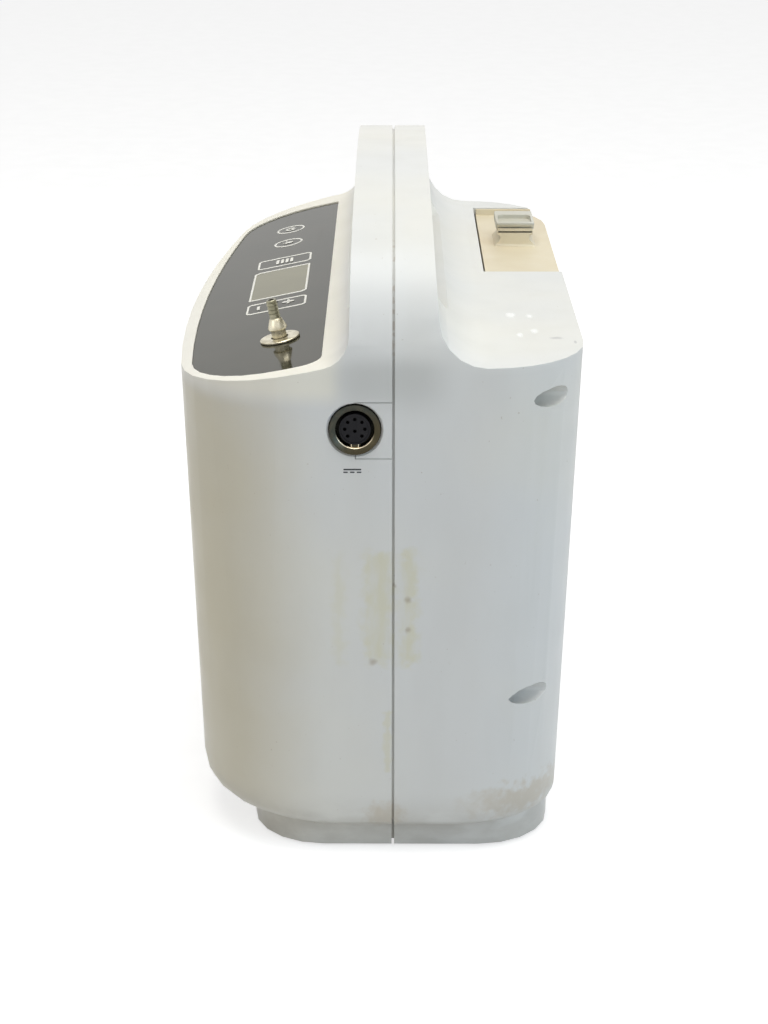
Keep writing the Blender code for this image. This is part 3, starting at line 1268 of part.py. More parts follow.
def make_battery():
    """The lift-out pack: a tapered case under an aged deck whose outer lip is part of the rear wall."""
    mouth_low = BATTERY_TOP - DECK_LIP_HEIGHT
    low_y = DECK_NEAR_Y + BATTERY_SETBACK
    high_y = DECK_FAR_Y - BATTERY_SETBACK
    bottom = BAY_FLOOR_HEIGHT + FIT + CONNECTOR_HEIGHT + FIT
    case = box(
        "case_blank",
        (DECK_FRONT_X + BATTERY_SLACK, low_y + BATTERY_SLACK, bottom),
        (OUT, high_y - BATTERY_SLACK, mouth_low),
    )
    combine(case, battery_room, "INTERSECT")
    middle_x = DECK_FRONT_X + CONNECTOR_WIDTH
    middle_y = (low_y + high_y) / 2
    for i in range(CONTACT_BLADES):
        y = middle_y + (i - (CONTACT_BLADES - 1) / 2) * CONNECTOR_LENGTH / CONTACT_BLADES
        slot = box(
            f"blade_slot_{i}",
            (middle_x - BLADE_WIDTH / 2 - FIT, y - BLADE_THICKNESS / 2 - FIT, bottom - OVERRUN),
            (middle_x + BLADE_WIDTH / 2 + FIT, y + BLADE_THICKNESS / 2 + FIT, bottom + BLADE_HEIGHT + FIT),
        )
        combine(case, slot)
    dress(baked(case, "battery_case", parts), GREY)
    deck = box(
        "deck_blank",
        (DECK_FRONT_X + DECK_SIDE_GAP, DECK_NEAR_Y + FIT, mouth_low + FIT),
        (OUT, DECK_FAR_Y - FIT, BATTERY_TOP),
    )
    far_lip = box(
        "deck_far_lip",
        (DECK_FRONT_X + DECK_SIDE_GAP, DECK_FAR_Y - FIT - DECK_FAR_LIP, mouth_low + 2 * FIT),
        (OUT, DECK_FAR_Y - FIT, REAR_SHOULDER_HEIGHT - FIT),
    )
    combine(deck, far_lip, "UNION")
    combine(deck, skin, "INTERSECT")
    combine(deck, grip_post(), "UNION")
    combine(deck, tongue_slot())
    dress(baked(deck, "battery_deck", parts), AGED)


def grip_middle():
    """X and Y of the grip's centre."""
    return (GRIP_FRONT_X + GRIP_WIDTH / 2, GRIP_NEAR_Y + GRIP_LENGTH / 2)


def grip_post():
    """The fixed post of the grip: a waist to pull on, flared into the deck."""
    x, y = grip_middle()
    half = GRIP_WIDTH / 2
    low = BATTERY_TOP - DECK_LIP_HEIGHT / 2
    top = BATTERY_TOP + GRIP_HEIGHT
    side = [
        (half + GRIP_FLARE, low),
        (half + GRIP_FLARE, BATTERY_TOP),
        (half, BATTERY_TOP + GRIP_FLARE),
        (half - GRIP_WAIST, BATTERY_TOP + GRIP_HEIGHT * GRIP_WAIST_SHARES[0]),
        (half - GRIP_WAIST, BATTERY_TOP + GRIP_HEIGHT * GRIP_WAIST_SHARES[1]),
        (half, top - GRIP_WAIST),
        (half, top),
    ]
    outline = [(x + w, z) for w, z in side] + [(x - w, z) for w, z in reversed(side)]
    return prism("grip_post", outline, "Y", y - GRIP_LENGTH / 2, y + GRIP_LENGTH / 2)


def tongue_slot():
    """The groove in the post that the latch's tongue and spring lie in."""
    x, y = grip_middle()
    half = LATCH_TONGUE_WIDTH / 2 + FIT
    top = BATTERY_TOP + GRIP_HEIGHT
    return box(
        "tongue_slot",
        (x - half, y - GRIP_LENGTH / 4 - FIT, top - LATCH_TONGUE_DEPTH - FIT),
        (x + half, y + GRIP_LENGTH / 4 + LATCH_TRAVEL + 2 * SPRING_RADIUS + FIT, top + OVERRUN),
    )


def make_latch():
    """The sliding cap on the grip: a scoop for a fingertip behind a raised lip, and a tongue below."""
    x, y = grip_middle()
    low = BATTERY_TOP + GRIP_HEIGHT + FIT
    high = low + LATCH_HEIGHT
    near = y - GRIP_LENGTH / 2 - LATCH_OVERHANG
    far = y + GRIP_LENGTH / 2
    half = GRIP_WIDTH / 2 + LATCH_OVERHANG / 2
    outline = rounded_box_outline((x - half, near), (x + half, far), LATCH_LIP / 2, 4)
    cap = prism("latch_blank", outline, "Z", low, high)
    rim = LATCH_LIP / 2
    scoop = prism(
        "latch_scoop",
        rounded_box_outline((x - half + rim, near + rim), (x + half - rim, far - LATCH_BACK), LATCH_SCOOP_RADIUS, 4),
        "Z",
        high - LATCH_SCOOP_DEPTH,
        high + OVERRUN,
    )
    combine(cap, scoop)
    tongue = box(
        "latch_tongue",
        (x - LATCH_TONGUE_WIDTH / 2, y - GRIP_LENGTH / 4, low - LATCH_TONGUE_DEPTH),
        (x + LATCH_TONGUE_WIDTH / 2, y + GRIP_LENGTH / 4, low + LATCH_HEIGHT / 4),
    )
    combine(cap, tongue, "UNION")
    dress(baked(cap, "battery_latch", parts), CAP)


def make_inlet():
    """The pull-off inlet cover, cut from the wall's own form, and the foam behind it."""
    cover = inlet_cutter("inlet_cover_blank", 0)
    combine(cover, skin, "INTERSECT")
    combine(cover, cavity)
    pitch = (INLET_RISE - 2 * INLET_FRAME) / INLET_SLOTS
    for i in range(INLET_SLOTS):
        z = INLET_HEIGHT - INLET_RISE / 2 + INLET_FRAME + pitch * (i + 0.5)
        slot = box(
            f"inlet_slot_{i}",
            (-OUT, INLET_Y - INLET_LENGTH / 2 + INLET_FRAME, z - INLET_SLOT_HEIGHT / 2),
            (-BODY_WIDTH / 4, INLET_Y + INLET_LENGTH / 2 - INLET_FRAME, z + INLET_SLOT_HEIGHT / 2),
        )
        combine(cover, slot)
    dress(baked(cover, "inlet_cover", parts), WHITE)
    foam = inlet_cutter("filter_blank", FILTER_LAP)
    combine(foam, chassis_room, "INTERSECT")
    combine(foam, filter_back)
    dress(baked(foam, "inlet_filter", parts), FOAM)


def make_exhaust():
    """The louvred insert in the far end wall."""
    insert = prism("exhaust_blank", exhaust_outline(0), "Y", BODY_LENGTH / 4, FAR)
    combine(insert, skin, "INTERSECT")
    combine(insert, cavity)
    half = FAN_SIZE / 2 - EXHAUST_MARGIN - EXHAUST_FRAME
    rise = 2 * half
    pitch = rise / EXHAUST_SLOTS
    for i in range(EXHAUST_SLOTS):
        z = FAN_HEIGHT - rise / 2 + pitch * (i + 0.5)
        slot = box(
            f"exhaust_slot_{i}",
            (FAN_X - half, BODY_LENGTH / 4, z - EXHAUST_SLOT_HEIGHT / 2),
            (FAN_X + half, FAR, z + EXHAUST_SLOT_HEIGHT / 2),
        )
        combine(insert, slot)
    dress(baked(insert, "exhaust_grille", parts), GREY)


def make_fan():
    """A square frame with a bore and three struts, and a bladed rotor on its pin."""
    near = FAN_FAR_Y - FAN_DEPTH
    centre = (FAN_X, FAN_HEIGHT)
    frame = box(
        "fan_blank",
        (FAN_X - FAN_SIZE / 2, near, FAN_HEIGHT - FAN_SIZE / 2),
        (FAN_X + FAN_SIZE / 2, FAN_FAR_Y, FAN_HEIGHT + FAN_SIZE / 2),
    )
    combine(frame, rod("fan_bore", FAN_BORE_RADIUS, near - OVERRUN, FAN_FAR_Y + OVERRUN, "Y", centre, steps=FINE_STEPS))
    strut_depth = FAN_BLADE_THICKNESS
    for i in range(3):
        strut = box(
            f"strut_{i}",
            (-FAN_BLADE_THICKNESS, near + FIT, FAN_BLADE_THICKNESS),
            (FAN_BLADE_THICKNESS, near + strut_depth, FAN_BORE_RADIUS + FAN_BLADE_THICKNESS / 2),
        )
        turn = Matrix.Rotation(2 * math.pi * i / 3, 4, "Y")
        strut.data.transform(Matrix.Translation((FAN_X, 0, FAN_HEIGHT)) @ turn)
        combine(frame, strut, "UNION")
    boss = turned(
        "fan_boss",
        [
            (0, FAN_DEPTH / 2),
            (FAN_PIN_RADIUS, FAN_DEPTH / 2),
            (FAN_PIN_RADIUS, strut_depth + FIT),
            (FAN_HUB_RADIUS, strut_depth + FIT),
            (FAN_HUB_RADIUS, FIT / 2),
            (0, FIT / 2),
        ],
        steps=ROUND_STEPS,
    )
    boss.rotation_euler = (-math.pi / 2, 0, 0)
    boss.location = (FAN_X, near, FAN_HEIGHT)
    combine(frame, boss, "UNION")
    dress(baked(frame, "fan_frame", parts), BLACK)
    start = near + strut_depth + 3 * FIT
    end = FAN_FAR_Y - FAN_TIP_GAP
    rotor = rod("hub", FAN_HUB_RADIUS, start, end, "Y", centre)
    reach = FAN_BORE_RADIUS - FAN_TIP_GAP
    span = (end - start) / math.cos(FAN_BLADE_ANGLE) / 2
    for i in range(FAN_BLADES):
        blade = box(
            f"fan_blade_{i}",
            (-FAN_BLADE_THICKNESS / 2, -span / 2, FAN_HUB_RADIUS / 2),
            (FAN_BLADE_THICKNESS / 2, span / 2, reach - FAN_TIP_GAP),
        )
        pitch = Matrix.Rotation(FAN_BLADE_ANGLE, 4, "Z")
        turn = Matrix.Rotation(2 * math.pi * i / FAN_BLADES, 4, "Y")
        place = Matrix.Translation((FAN_X, (start + end) / 2, FAN_HEIGHT))
        blade.data.transform(place @ turn @ pitch)
        combine(rotor, blade, "UNION")
    socket = rod("rotor_bore", FAN_PIN_RADIUS + FIT, start - OVERRUN, near + FAN_DEPTH / 2 + FIT, "Y", centre, steps=COARSE_STEPS)
    combine(rotor, socket)
    made = dress(baked(rotor, "fan_rotor", parts), BLACK)
    set_origin(made, (FAN_X, start, FAN_HEIGHT))


def set_origin(thing, spot):
    """Moves an object's origin without moving its mesh."""
    thing.data.transform(Matrix.Translation(-Vector(spot)))
    thing.location = spot


BED_BASE = CHASSIS_TOP + FIT
BED_TOP = BED_BASE + BED_HEIGHT
BULKHEAD_FAR = BULKHEAD_Y + CHASSIS_PLATE
BED_NEAR_Y = BULKHEAD_FAR + BED_GAP + BED_RADIUS
BED_FAR_Y = BED_NEAR_Y + 2 * BED_RADIUS + BED_GAP
MANIFOLD_TOP = BED_TOP + FIT + MANIFOLD_THICKNESS


def make_chassis():
    """The plate on the shells' ledge with the bulkhead across it."""
    base = BASE_HEIGHT + WALL + FIT
    plate = box("chassis_plate", (-OUT, -FAR, base), (CHASSIS_REAR_X, FAR, CHASSIS_TOP))
    bulkhead = box(
        "bulkhead", (-OUT, BULKHEAD_Y, base), (CHASSIS_REAR_X, BULKHEAD_FAR, BULKHEAD_HEIGHT)
    )
    combine(plate, bulkhead, "UNION")
    combine(plate, chassis_room, "INTERSECT")
    for i, (end, z) in enumerate(well_places()):
        clear = POST_RADIUS + FIT
        combine(plate, rod(f"chassis_clear_{i}", clear, -OUT, OUT, "X", (well_y(end, z), z), steps=COARSE_STEPS))
    dress(baked(plate, "chassis", parts), GREY)


def compressor_plate():
    """Low and high corners of the compressor's base plate."""
    low_z = CHASSIS_TOP + FIT + MOUNT_HEIGHT + FIT
    motor_far = BULKHEAD_Y - MOTOR_BULKHEAD_GAP
    near = motor_far - MOTOR_LENGTH - CRANKCASE_LENGTH - MOUNT_RADIUS
    half = CRANKCASE_WIDTH / 2 + MOUNT_RADIUS
    return (MOTOR_X - half, near, low_z), (MOTOR_X + half, motor_far, low_z + COMPRESSOR_PLATE)


def make_compressor():
    """The casting: base plate, crankcase, two opposed finned heads and the motor's cradle; then the motor and mounts."""
    low, high = compressor_plate()
    axis = (MOTOR_X, MOTOR_HEIGHT)
    case_far = high[1] - MOTOR_LENGTH
    case_near = case_far - CRANKCASE_LENGTH
    block = box("compressor_plate", low, high)
    half = CRANKCASE_WIDTH / 2
    rise = MOTOR_RADIUS + FIT
    crankcase = box(
        "crankcase",
        (MOTOR_X - half, case_near, high[2] - COMPRESSOR_PLATE / 2),
        (MOTOR_X + half, case_far, MOTOR_HEIGHT + rise),
    )
    combine(block, crankcase, "UNION")
    middle = ((case_near + case_far) / 2, MOTOR_HEIGHT)
    reach = half + CYLINDER_LENGTH
    combine(block, rod("cylinders", CYLINDER_RADIUS, MOTOR_X - reach, MOTOR_X + reach, "X", middle), "UNION")
    for side in (-1, 1):
        inner = MOTOR_X + side * (reach - FIT)
        outer = inner + side * HEAD_THICKNESS
        head = box(
            f"head_{side}",
            (min(inner, outer), middle[0] - HEAD_SIZE / 2, MOTOR_HEIGHT - HEAD_SIZE / 2),
            (max(inner, outer), middle[0] + HEAD_SIZE / 2, MOTOR_HEIGHT + HEAD_SIZE / 2),
        )
        pitch = HEAD_SIZE / HEAD_FINS
        for i in range(HEAD_FINS - 1):
            y = middle[0] - HEAD_SIZE / 2 + pitch * (i + 1)
            fin_low = (min(outer - side * FIN_DEPTH, outer + side * OVERRUN), y - FIN_GAP / 2, 0)
            fin_high = (max(outer - side * FIN_DEPTH, outer + side * OVERRUN), y + FIN_GAP / 2, UP)
            combine(head, box(f"fin_gap_{side}_{i}", fin_low, fin_high))
        combine(block, head, "UNION")
    cradle = box(
        "cradle",
        (MOTOR_X - MOTOR_RADIUS / 2, case_far - COMPRESSOR_PLATE, high[2] - COMPRESSOR_PLATE / 2),
        (MOTOR_X + MOTOR_RADIUS / 2, high[1] - MOTOR_LENGTH / 3, MOTOR_HEIGHT),
    )
    combine(block, cradle, "UNION")
    combine(block, rod("motor_room", MOTOR_RADIUS + FIT, case_far, BODY_LENGTH / 4, "Y", axis, steps=FINE_STEPS))
    shaft_room = rod("shaft_room", SHAFT_RADIUS + FIT, case_near - OVERRUN, case_near + SHAFT_LENGTH, "Y", axis)
    combine(block, shaft_room)
    dress(baked(block, "compressor_block", parts), CASTING)
    step = MOTOR_LENGTH / 8
    groove = MOTOR_RADIUS - FIN_GAP / 2
    boss = SHAFT_RADIUS * 2
    boss_top = MOTOR_BULKHEAD_GAP - FIT
    motor = turned(
        "compressor_motor",
        [
            (0, boss_top),
            (boss, boss_top),
            (boss, 0),
            (MOTOR_RADIUS - FIN_GAP, 0),
            (MOTOR_RADIUS, -FIN_GAP),
            (MOTOR_RADIUS, -step),
            (groove, -step),
            (groove, -2 * step),
            (MOTOR_RADIUS, -2 * step),
            (MOTOR_RADIUS, FIT - MOTOR_LENGTH),
            (0, FIT - MOTOR_LENGTH),
        ],
        parts,
    )
    motor.rotation_euler = (-math.pi / 2, 0, 0)
    motor.location = (MOTOR_X, high[1], MOTOR_HEIGHT)
    dress(motor, STEEL)
    make_flywheel(case_near, axis)
    for i, (x, y) in enumerate(mount_places(low, high)):
        middle_z = CHASSIS_TOP + FIT + MOUNT_HEIGHT / 2
        waist_radius = MOUNT_RADIUS - MOUNT_WAIST
        profile = [
            (0, MOUNT_HEIGHT / 2),
            (MOUNT_RADIUS, MOUNT_HEIGHT / 2),
            (MOUNT_RADIUS, MOUNT_HEIGHT / 3),
            (waist_radius, MOUNT_HEIGHT / 6),
            (waist_radius, -MOUNT_HEIGHT / 6),
            (MOUNT_RADIUS, -MOUNT_HEIGHT / 3),
            (MOUNT_RADIUS, -MOUNT_HEIGHT / 2),
            (0, -MOUNT_HEIGHT / 2),
        ]
        mount = dress(turned(f"rubber_mount_{i + 1}", profile, parts, ROUND_STEPS // 2), RUBBER)
        mount.location = (x, y, middle_z)


def mount_places(low, high):
    """Where the four rubber mounts stand under the compressor's plate."""
    return [
        (x, y)
        for x in (low[0] + MOUNT_INSET, high[0] - MOUNT_INSET)
        for y in (low[1] + MOUNT_INSET, high[1] - MOUNT_INSET)
    ]


def make_flywheel(case_near, axis):
    """The crank's balance wheel: a rim on a drilled web, with its stub shaft in the crankcase."""
    far = case_near - FIT
    near = far - FLYWHEEL_THICKNESS
    rim = FLYWHEEL_RADIUS - FLYWHEEL_WEB
    hub = SHAFT_RADIUS + FLYWHEEL_WEB
    wheel = turned(
        "wheel_blank",
        [
            (0, SHAFT_LENGTH),
            (SHAFT_RADIUS, SHAFT_LENGTH),
            (SHAFT_RADIUS, 0),
            (FLYWHEEL_RADIUS, 0),
            (FLYWHEEL_RADIUS, -FLYWHEEL_THICKNESS),
            (rim, -FLYWHEEL_THICKNESS),
            (rim, -FLYWHEEL_WEB),
            (hub, -FLYWHEEL_WEB),
            (hub, -FLYWHEEL_THICKNESS),
            (0, -FLYWHEEL_THICKNESS),
        ],
    )
    wheel.rotation_euler = (-math.pi / 2, 0, 0)
    wheel.location = (axis[0], far, axis[1])
    circle = (FLYWHEEL_RADIUS + SHAFT_RADIUS) / 2
    for i in range(FLYWHEEL_HOLES):
        turn = 2 * math.pi * i / FLYWHEEL_HOLES
        spot = (axis[0] + circle * math.cos(turn), axis[1] + circle * math.sin(turn))
        combine(wheel, rod(f"wheel_hole_{i}", FLYWHEEL_HOLE_RADIUS, near, far + FIT, "Y", spot, steps=COARSE_STEPS))
    made = dress(baked(wheel, "crank_wheel", parts), STEEL)
    set_origin(made, (axis[0], far, axis[1]))


def column(name, radius, spot):
    """A pressure vessel with a band at each end."""
    band = radius - BED_BAND_RISE
    profile = [
        (0, BED_TOP),
        (radius, BED_TOP),
        (radius, BED_TOP - BED_BAND_HEIGHT),
        (band, BED_TOP - BED_BAND_HEIGHT),
        (band, BED_BASE + BED_BAND_HEIGHT),
        (radius, BED_BASE + BED_BAND_HEIGHT),
        (radius, BED_BASE),
        (0, BED_BASE),
    ]
    made = turned(name, profile, parts, ROUND_STEPS)
    made.location = (*spot, 0)
    return made


def make_gas_works():
    """Two sieve beds, the product tank, the valve block over them, its valves and the outlet tube."""
    dress(column("sieve_bed_a", BED_RADIUS, (BED_X, BED_NEAR_Y)), CASTING)
    dress(column("sieve_bed_b", BED_RADIUS, (BED_X, BED_FAR_Y)), CASTING)
    tank_y = BULKHEAD_FAR + BED_GAP + TANK_RADIUS
    dress(column("product_tank", TANK_RADIUS, (TANK_X, tank_y)), CASTING)
    base = BED_TOP + FIT
    block = box(
        "manifold_beds",
        (BED_X - BED_RADIUS + MANIFOLD_MARGIN, BED_NEAR_Y - BED_RADIUS + MANIFOLD_MARGIN, base),
        (BED_X + BED_RADIUS, BED_FAR_Y + BED_RADIUS - MANIFOLD_MARGIN, MANIFOLD_TOP),
    )
    arm = box(
        "manifold_arm",
        (BED_X, tank_y - TANK_RADIUS + MANIFOLD_MARGIN, base),
        (TANK_X + TANK_RADIUS - MANIFOLD_MARGIN, tank_y + TANK_RADIUS, MANIFOLD_TOP),
    )
    combine(block, arm, "UNION")
    dress(baked(block, "valve_block", parts), GREY)
    for i, side in enumerate((-1, 1)):
        foot = MANIFOLD_TOP + FIT
        top = foot + VALVE_HEIGHT
        cap = VALVE_RADIUS - VALVE_CAP_HEIGHT
        valve = turned(
            f"solenoid_valve_{i + 1}",
            [
                (0, top),
                (cap / 2, top),
                (cap / 2, top - VALVE_CAP_HEIGHT),
                (VALVE_RADIUS, top - VALVE_CAP_HEIGHT),
                (VALVE_RADIUS, foot + VALVE_CAP_HEIGHT),
                (cap, foot + VALVE_CAP_HEIGHT),
                (cap, foot),
                (0, foot),
            ],
            parts,
            ROUND_STEPS,
        )
        valve.location = (TANK_X, tank_y + side * VALVE_PITCH / 2, 0)
        dress(valve, BLACK)
    make_tube()


def make_tube():
    """The silicone tube from the valve block's near edge to the outlet's inner end."""
    start = panel_place @ Vector((*BARB_SPOT, -BARB_SHANK_LENGTH - FIT))
    leave = start - panel_normal * TUBE_RADIUS * 3
    end = Vector((BED_X, BED_NEAR_Y - BED_RADIUS + MANIFOLD_MARGIN - FIT, MANIFOLD_TOP - MANIFOLD_THICKNESS / 2))
    arrive = end - Vector((0, TUBE_RADIUS * 3, 0))
    drop = Vector((start.x, start.y + TUBE_RADIUS * 4, end.z))
    guide = [start, leave, drop, (drop + arrive) / 2, arrive, end]
    curve = bpy.data.curves.new("outlet_tube", "CURVE")
    curve.dimensions = "3D"
    curve.bevel_depth = TUBE_RADIUS
    curve.bevel_resolution = 2
    curve.use_fill_caps = True
    spline = curve.splines.new("POLY")
    points = smooth_route(guide, 5)
    spline.points.add(len(points) - 1)
    for point, place in zip(spline.points, points):
        point.co = (*place, 1.0)
    tube = bpy.data.objects.new("outlet_tube", curve)
    parts.objects.link(tube)
    curve.materials.append(SILICONE)


def smooth_route(guide, steps):
    """Points of a Catmull-Rom curve through a route."""
    padded = [guide[0] * 2 - guide[1]] + guide + [guide[-1] * 2 - guide[-2]]
    points = []
    for a, b, c, d in zip(padded, padded[1:], padded[2:], padded[3:]):
        for i in range(steps):
            t = i / steps
            low = (b * 2 + (c - a) * t + (a * 2 - b * 5 + c * 4 - d) * t ** 2 + (b * 3 - a - c * 3 + d) * t ** 3) / 2
            points.append(low)
    return points + [guide[-1]]


def make_main_board():
    """The controller board flat on the near face of the bulkhead, with its larger chips."""
    top = BULKHEAD_HEIGHT - CHASSIS_PLATE
    back = BULKHEAD_Y - FIT
    face = back - BOARD_THICKNESS
    low_x = MOTOR_X - MAIN_BOARD_LENGTH / 2
    board = box(
        "board_blank", (low_x, face, top - MAIN_BOARD_HEIGHT), (low_x + MAIN_BOARD_LENGTH, back, top)
    )
    for i in range(3):
        x = low_x + MAIN_BOARD_LENGTH * (i + 0.5) / 3
        z = top - MAIN_BOARD_HEIGHT / 2
        chip = box(
            f"chip_{i}",
            (x - CHIP_WIDTH / 2, face - CHIP_HEIGHT, z - CHIP_WIDTH / 2),
            (x + CHIP_WIDTH / 2, face + BOARD_THICKNESS / 2, z + CHIP_WIDTH / 2),
        )
        combine(board, chip, "UNION")
    dress(baked(board, "main_board", parts), BOARD)


make_front_shell()
make_rear_shell()
make_feet()
make_screws()
make_overlay()
make_keys()
make_display()
make_display_board()
make_outlet()
make_socket()
make_battery_bay()
make_battery()
make_latch()
make_inlet()
make_exhaust()
make_fan()
make_chassis()
make_compressor()
make_gas_works()
make_main_board()
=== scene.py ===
import json
import math
import bpy
from mathutils import Matrix, Vector

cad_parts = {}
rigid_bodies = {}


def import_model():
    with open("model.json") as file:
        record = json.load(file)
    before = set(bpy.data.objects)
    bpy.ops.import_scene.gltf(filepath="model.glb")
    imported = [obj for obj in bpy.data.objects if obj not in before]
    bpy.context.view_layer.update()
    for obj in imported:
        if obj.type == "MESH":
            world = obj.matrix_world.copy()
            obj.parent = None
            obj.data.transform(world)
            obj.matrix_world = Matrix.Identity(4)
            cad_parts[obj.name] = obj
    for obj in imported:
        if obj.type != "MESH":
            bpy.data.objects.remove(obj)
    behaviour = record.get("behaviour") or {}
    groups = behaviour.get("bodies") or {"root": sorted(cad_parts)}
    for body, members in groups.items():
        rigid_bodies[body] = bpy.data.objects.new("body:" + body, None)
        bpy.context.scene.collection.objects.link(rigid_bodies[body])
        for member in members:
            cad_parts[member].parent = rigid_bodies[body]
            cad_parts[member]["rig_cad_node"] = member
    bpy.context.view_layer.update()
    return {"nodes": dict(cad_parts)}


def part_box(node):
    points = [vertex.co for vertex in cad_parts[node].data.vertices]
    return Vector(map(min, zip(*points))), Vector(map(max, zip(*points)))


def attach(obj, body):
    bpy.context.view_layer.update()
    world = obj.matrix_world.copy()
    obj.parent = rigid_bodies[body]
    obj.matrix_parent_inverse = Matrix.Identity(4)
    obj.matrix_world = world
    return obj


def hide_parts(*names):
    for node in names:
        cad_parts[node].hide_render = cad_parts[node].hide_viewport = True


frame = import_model()


# Front half of the housing: a thin shell, injection moulded in off-white ABS.
# It carries the sloped shoulder with the control panel and the near half of the arch handle.
# It closes against the rear half on a vertical seam and is held by screws from behind.
SHELL_ANGLE = 28
SAME_POINT = 0.000002
SAME_PLANE = 0.2
EDGE_STEPS = 2
SEAM_X = 0.0064
HANDLE_X = 0.0050
SHOULDER_TOP = 0.2045
CORNER_PLACE = (-0.094, -0.156, 0.100)
CORNER_REACH = (0.052, 0.075, 0.170)
GLUE_STRIPS = ((0.0007, 0.1085, 0.0052, 0.0230), (0.0120, 0.1085, 0.0032, 0.0235))
FAINT_GLUE = (-0.0142, 0.1080, 0.0020, 0.0230)
GLUE_STREAK = (0.0042, 0.0510, 0.0013, 0.0130)
LOW_SPOT = (-0.0014, -0.141, 0.0861)
LOW_SPOT_SIZE = (0.0013, 0.02, 0.0012)
SPOTS = ((0.0120, 0.1123, 0.0011), (0.0120, 0.0997, 0.0010), (0.0069, 0.1180, 0.0006))
SEAM_STAIN = ((0.0030, -0.138, 0.0170), (0.0070, 0.03, 0.0060))
SIDE_STAIN = ((0.0590, -0.130, 0.0225), (0.0200, 0.03, 0.0060))
RUB_SIZE = (0.0016, 0.0034, 0.002)
CHIPS = ((0.0600, -0.0721, 0.0010), (0.0606, -0.0943, 0.0013), (0.0548, -0.1000, 0.0011))
CHIP_STRETCH = 2.4
SCRAPE_SIZE = (0.0022, 0.0016, 0.002)
NICK_SIZE = (0.0005, 0.002, 0.002)
WHITE = (0.79, 0.785, 0.735)
WHITE_COOL = (0.755, 0.765, 0.755)
CORNER_TAN = (0.60, 0.54, 0.36)
RIM_HIGHLIGHT_CREAM = (0.94, 0.91, 0.79)
GLUE_YELLOW = (0.70, 0.67, 0.45)
GRIME = (0.30, 0.22, 0.12)
DUST_AND_SHADE_GREY = (0.44, 0.42, 0.37)
STAIN_TAN = (0.52, 0.42, 0.27)
SEAM_DIRT = (0.45, 0.36, 0.28)
FOOT_SHADE_GREY = (0.56, 0.57, 0.55)
BARE_WHITE = (0.93, 0.93, 0.91)
SCRAPE_GREY = (0.33, 0.32, 0.33)
WALL_SLOPE = math.radians(2.4)
SOCKET_MIDDLE = Vector((-0.0078, -0.14502, 0.1809))
SEAT_INNER = 0.0092
SEAT_OUTER = 0.0108
SEAT_DEPTH = 0.0016
SEAT_SINK = 0.0004


def let_go():
    """Nothing selected."""
    bpy.ops.object.select_all(action="DESELECT")


def take(piece):
    """Only this piece selected and active."""
    let_go()
    bpy.context.view_layer.objects.active = piece
    piece.select_set(True)


def finish_modifiers(piece):
    """Each modifier on a piece made part of its mesh."""
    take(piece)
    for step in list(piece.modifiers):
        bpy.ops.object.modifier_apply(modifier=step.name)


def coat(piece, finish):
    """One finish over the whole piece."""
    piece.data.materials.clear()
    piece.data.materials.append(finish)


def smooth_moulding(node, name, edge, shape=None):
    """A copy of a moulded CAD part with merged faces, broken edges and even shading."""
    take(frame["nodes"][node])
    bpy.ops.object.duplicate()
    piece = bpy.context.active_object
    piece.name = name
    del piece["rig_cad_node"]
    bpy.ops.mesh.customdata_custom_splitnormals_clear()
    bpy.ops.object.mode_set(mode="EDIT")
    bpy.ops.mesh.select_all(action="SELECT")
    bpy.ops.mesh.remove_doubles(threshold=SAME_POINT)
    bpy.ops.mesh.dissolve_limited(angle_limit=math.radians(SAME_PLANE))
    bpy.ops.object.mode_set(mode="OBJECT")
    if shape:
        shape(piece)
    if edge > 0:
        broken = piece.modifiers.new("broken_edge", "BEVEL")
        broken.width = edge
        broken.segments = EDGE_STEPS
        broken.limit_method = "ANGLE"
        broken.angle_limit = math.radians(SHELL_ANGLE)
        broken.harden_normals = False
        finish_modifiers(piece)
    take(piece)
    bpy.ops.object.shade_smooth_by_angle(angle=math.radians(SHELL_ANGLE))
    even = piece.modifiers.new("even_shading", "WEIGHTED_NORMAL")
    even.keep_sharp = True
    finish_modifiers(piece)
    return piece


def new_finish(name):
    """A finish with its shader, and the place on the object that its patterns are read at."""
    finish = bpy.data.materials.new(name)
    finish.use_nodes = True
    tree = finish.node_tree
    place = tree.nodes.new("ShaderNodeTexCoord").outputs["Object"]
    return finish, tree, tree.nodes["Principled BSDF"], place


def mottle(tree, place, scale, detail=2.0, stretch=(1, 1, 1)):
    """Soft random patches of one grain size."""
    turn = tree.nodes.new("ShaderNodeMapping")
    turn.inputs["Scale"].default_value = stretch
    tree.links.new(place, turn.inputs["Vector"])
    noise = tree.nodes.new("ShaderNodeTexNoise")
    noise.inputs["Scale"].default_value = scale
    noise.inputs["Detail"].default_value = detail
    tree.links.new(turn.outputs["Vector"], noise.inputs["Vector"])
    return noise.outputs["Fac"]


def spread(tree, value, low, high, first=0.0, last=1.0):
    """A value eased from first to last as it goes from low to high."""
    node = tree.nodes.new("ShaderNodeMapRange")
    node.interpolation_type = "SMOOTHSTEP"
    node.inputs["From Min"].default_value = low
    node.inputs["From Max"].default_value = high
    node.inputs["To Min"].default_value = first
    node.inputs["To Max"].default_value = last
    tree.links.new(value, node.inputs["Value"])
    return node.outputs["Result"]


def fall(tree, value, low, high):
    """1 up to the low value, eased down to 0 at the high one."""
    return spread(tree, value, low, high, 1, 0)


def combine(tree, kind, first, second=0):
    """Two values put together by one kind of sum."""
    node = tree.nodes.new("ShaderNodeMath")
    node.operation = kind
    for socket, value in zip(node.inputs, (first, second)):
        if isinstance(value, (int, float)):
            socket.default_value = value
        else:
            tree.links.new(value, socket)
    return node.outputs["Value"]


def times(tree, first, *others):
    """Values multiplied together."""
    for other in others:
        first = combine(tree, "MULTIPLY", first, other)
    return first


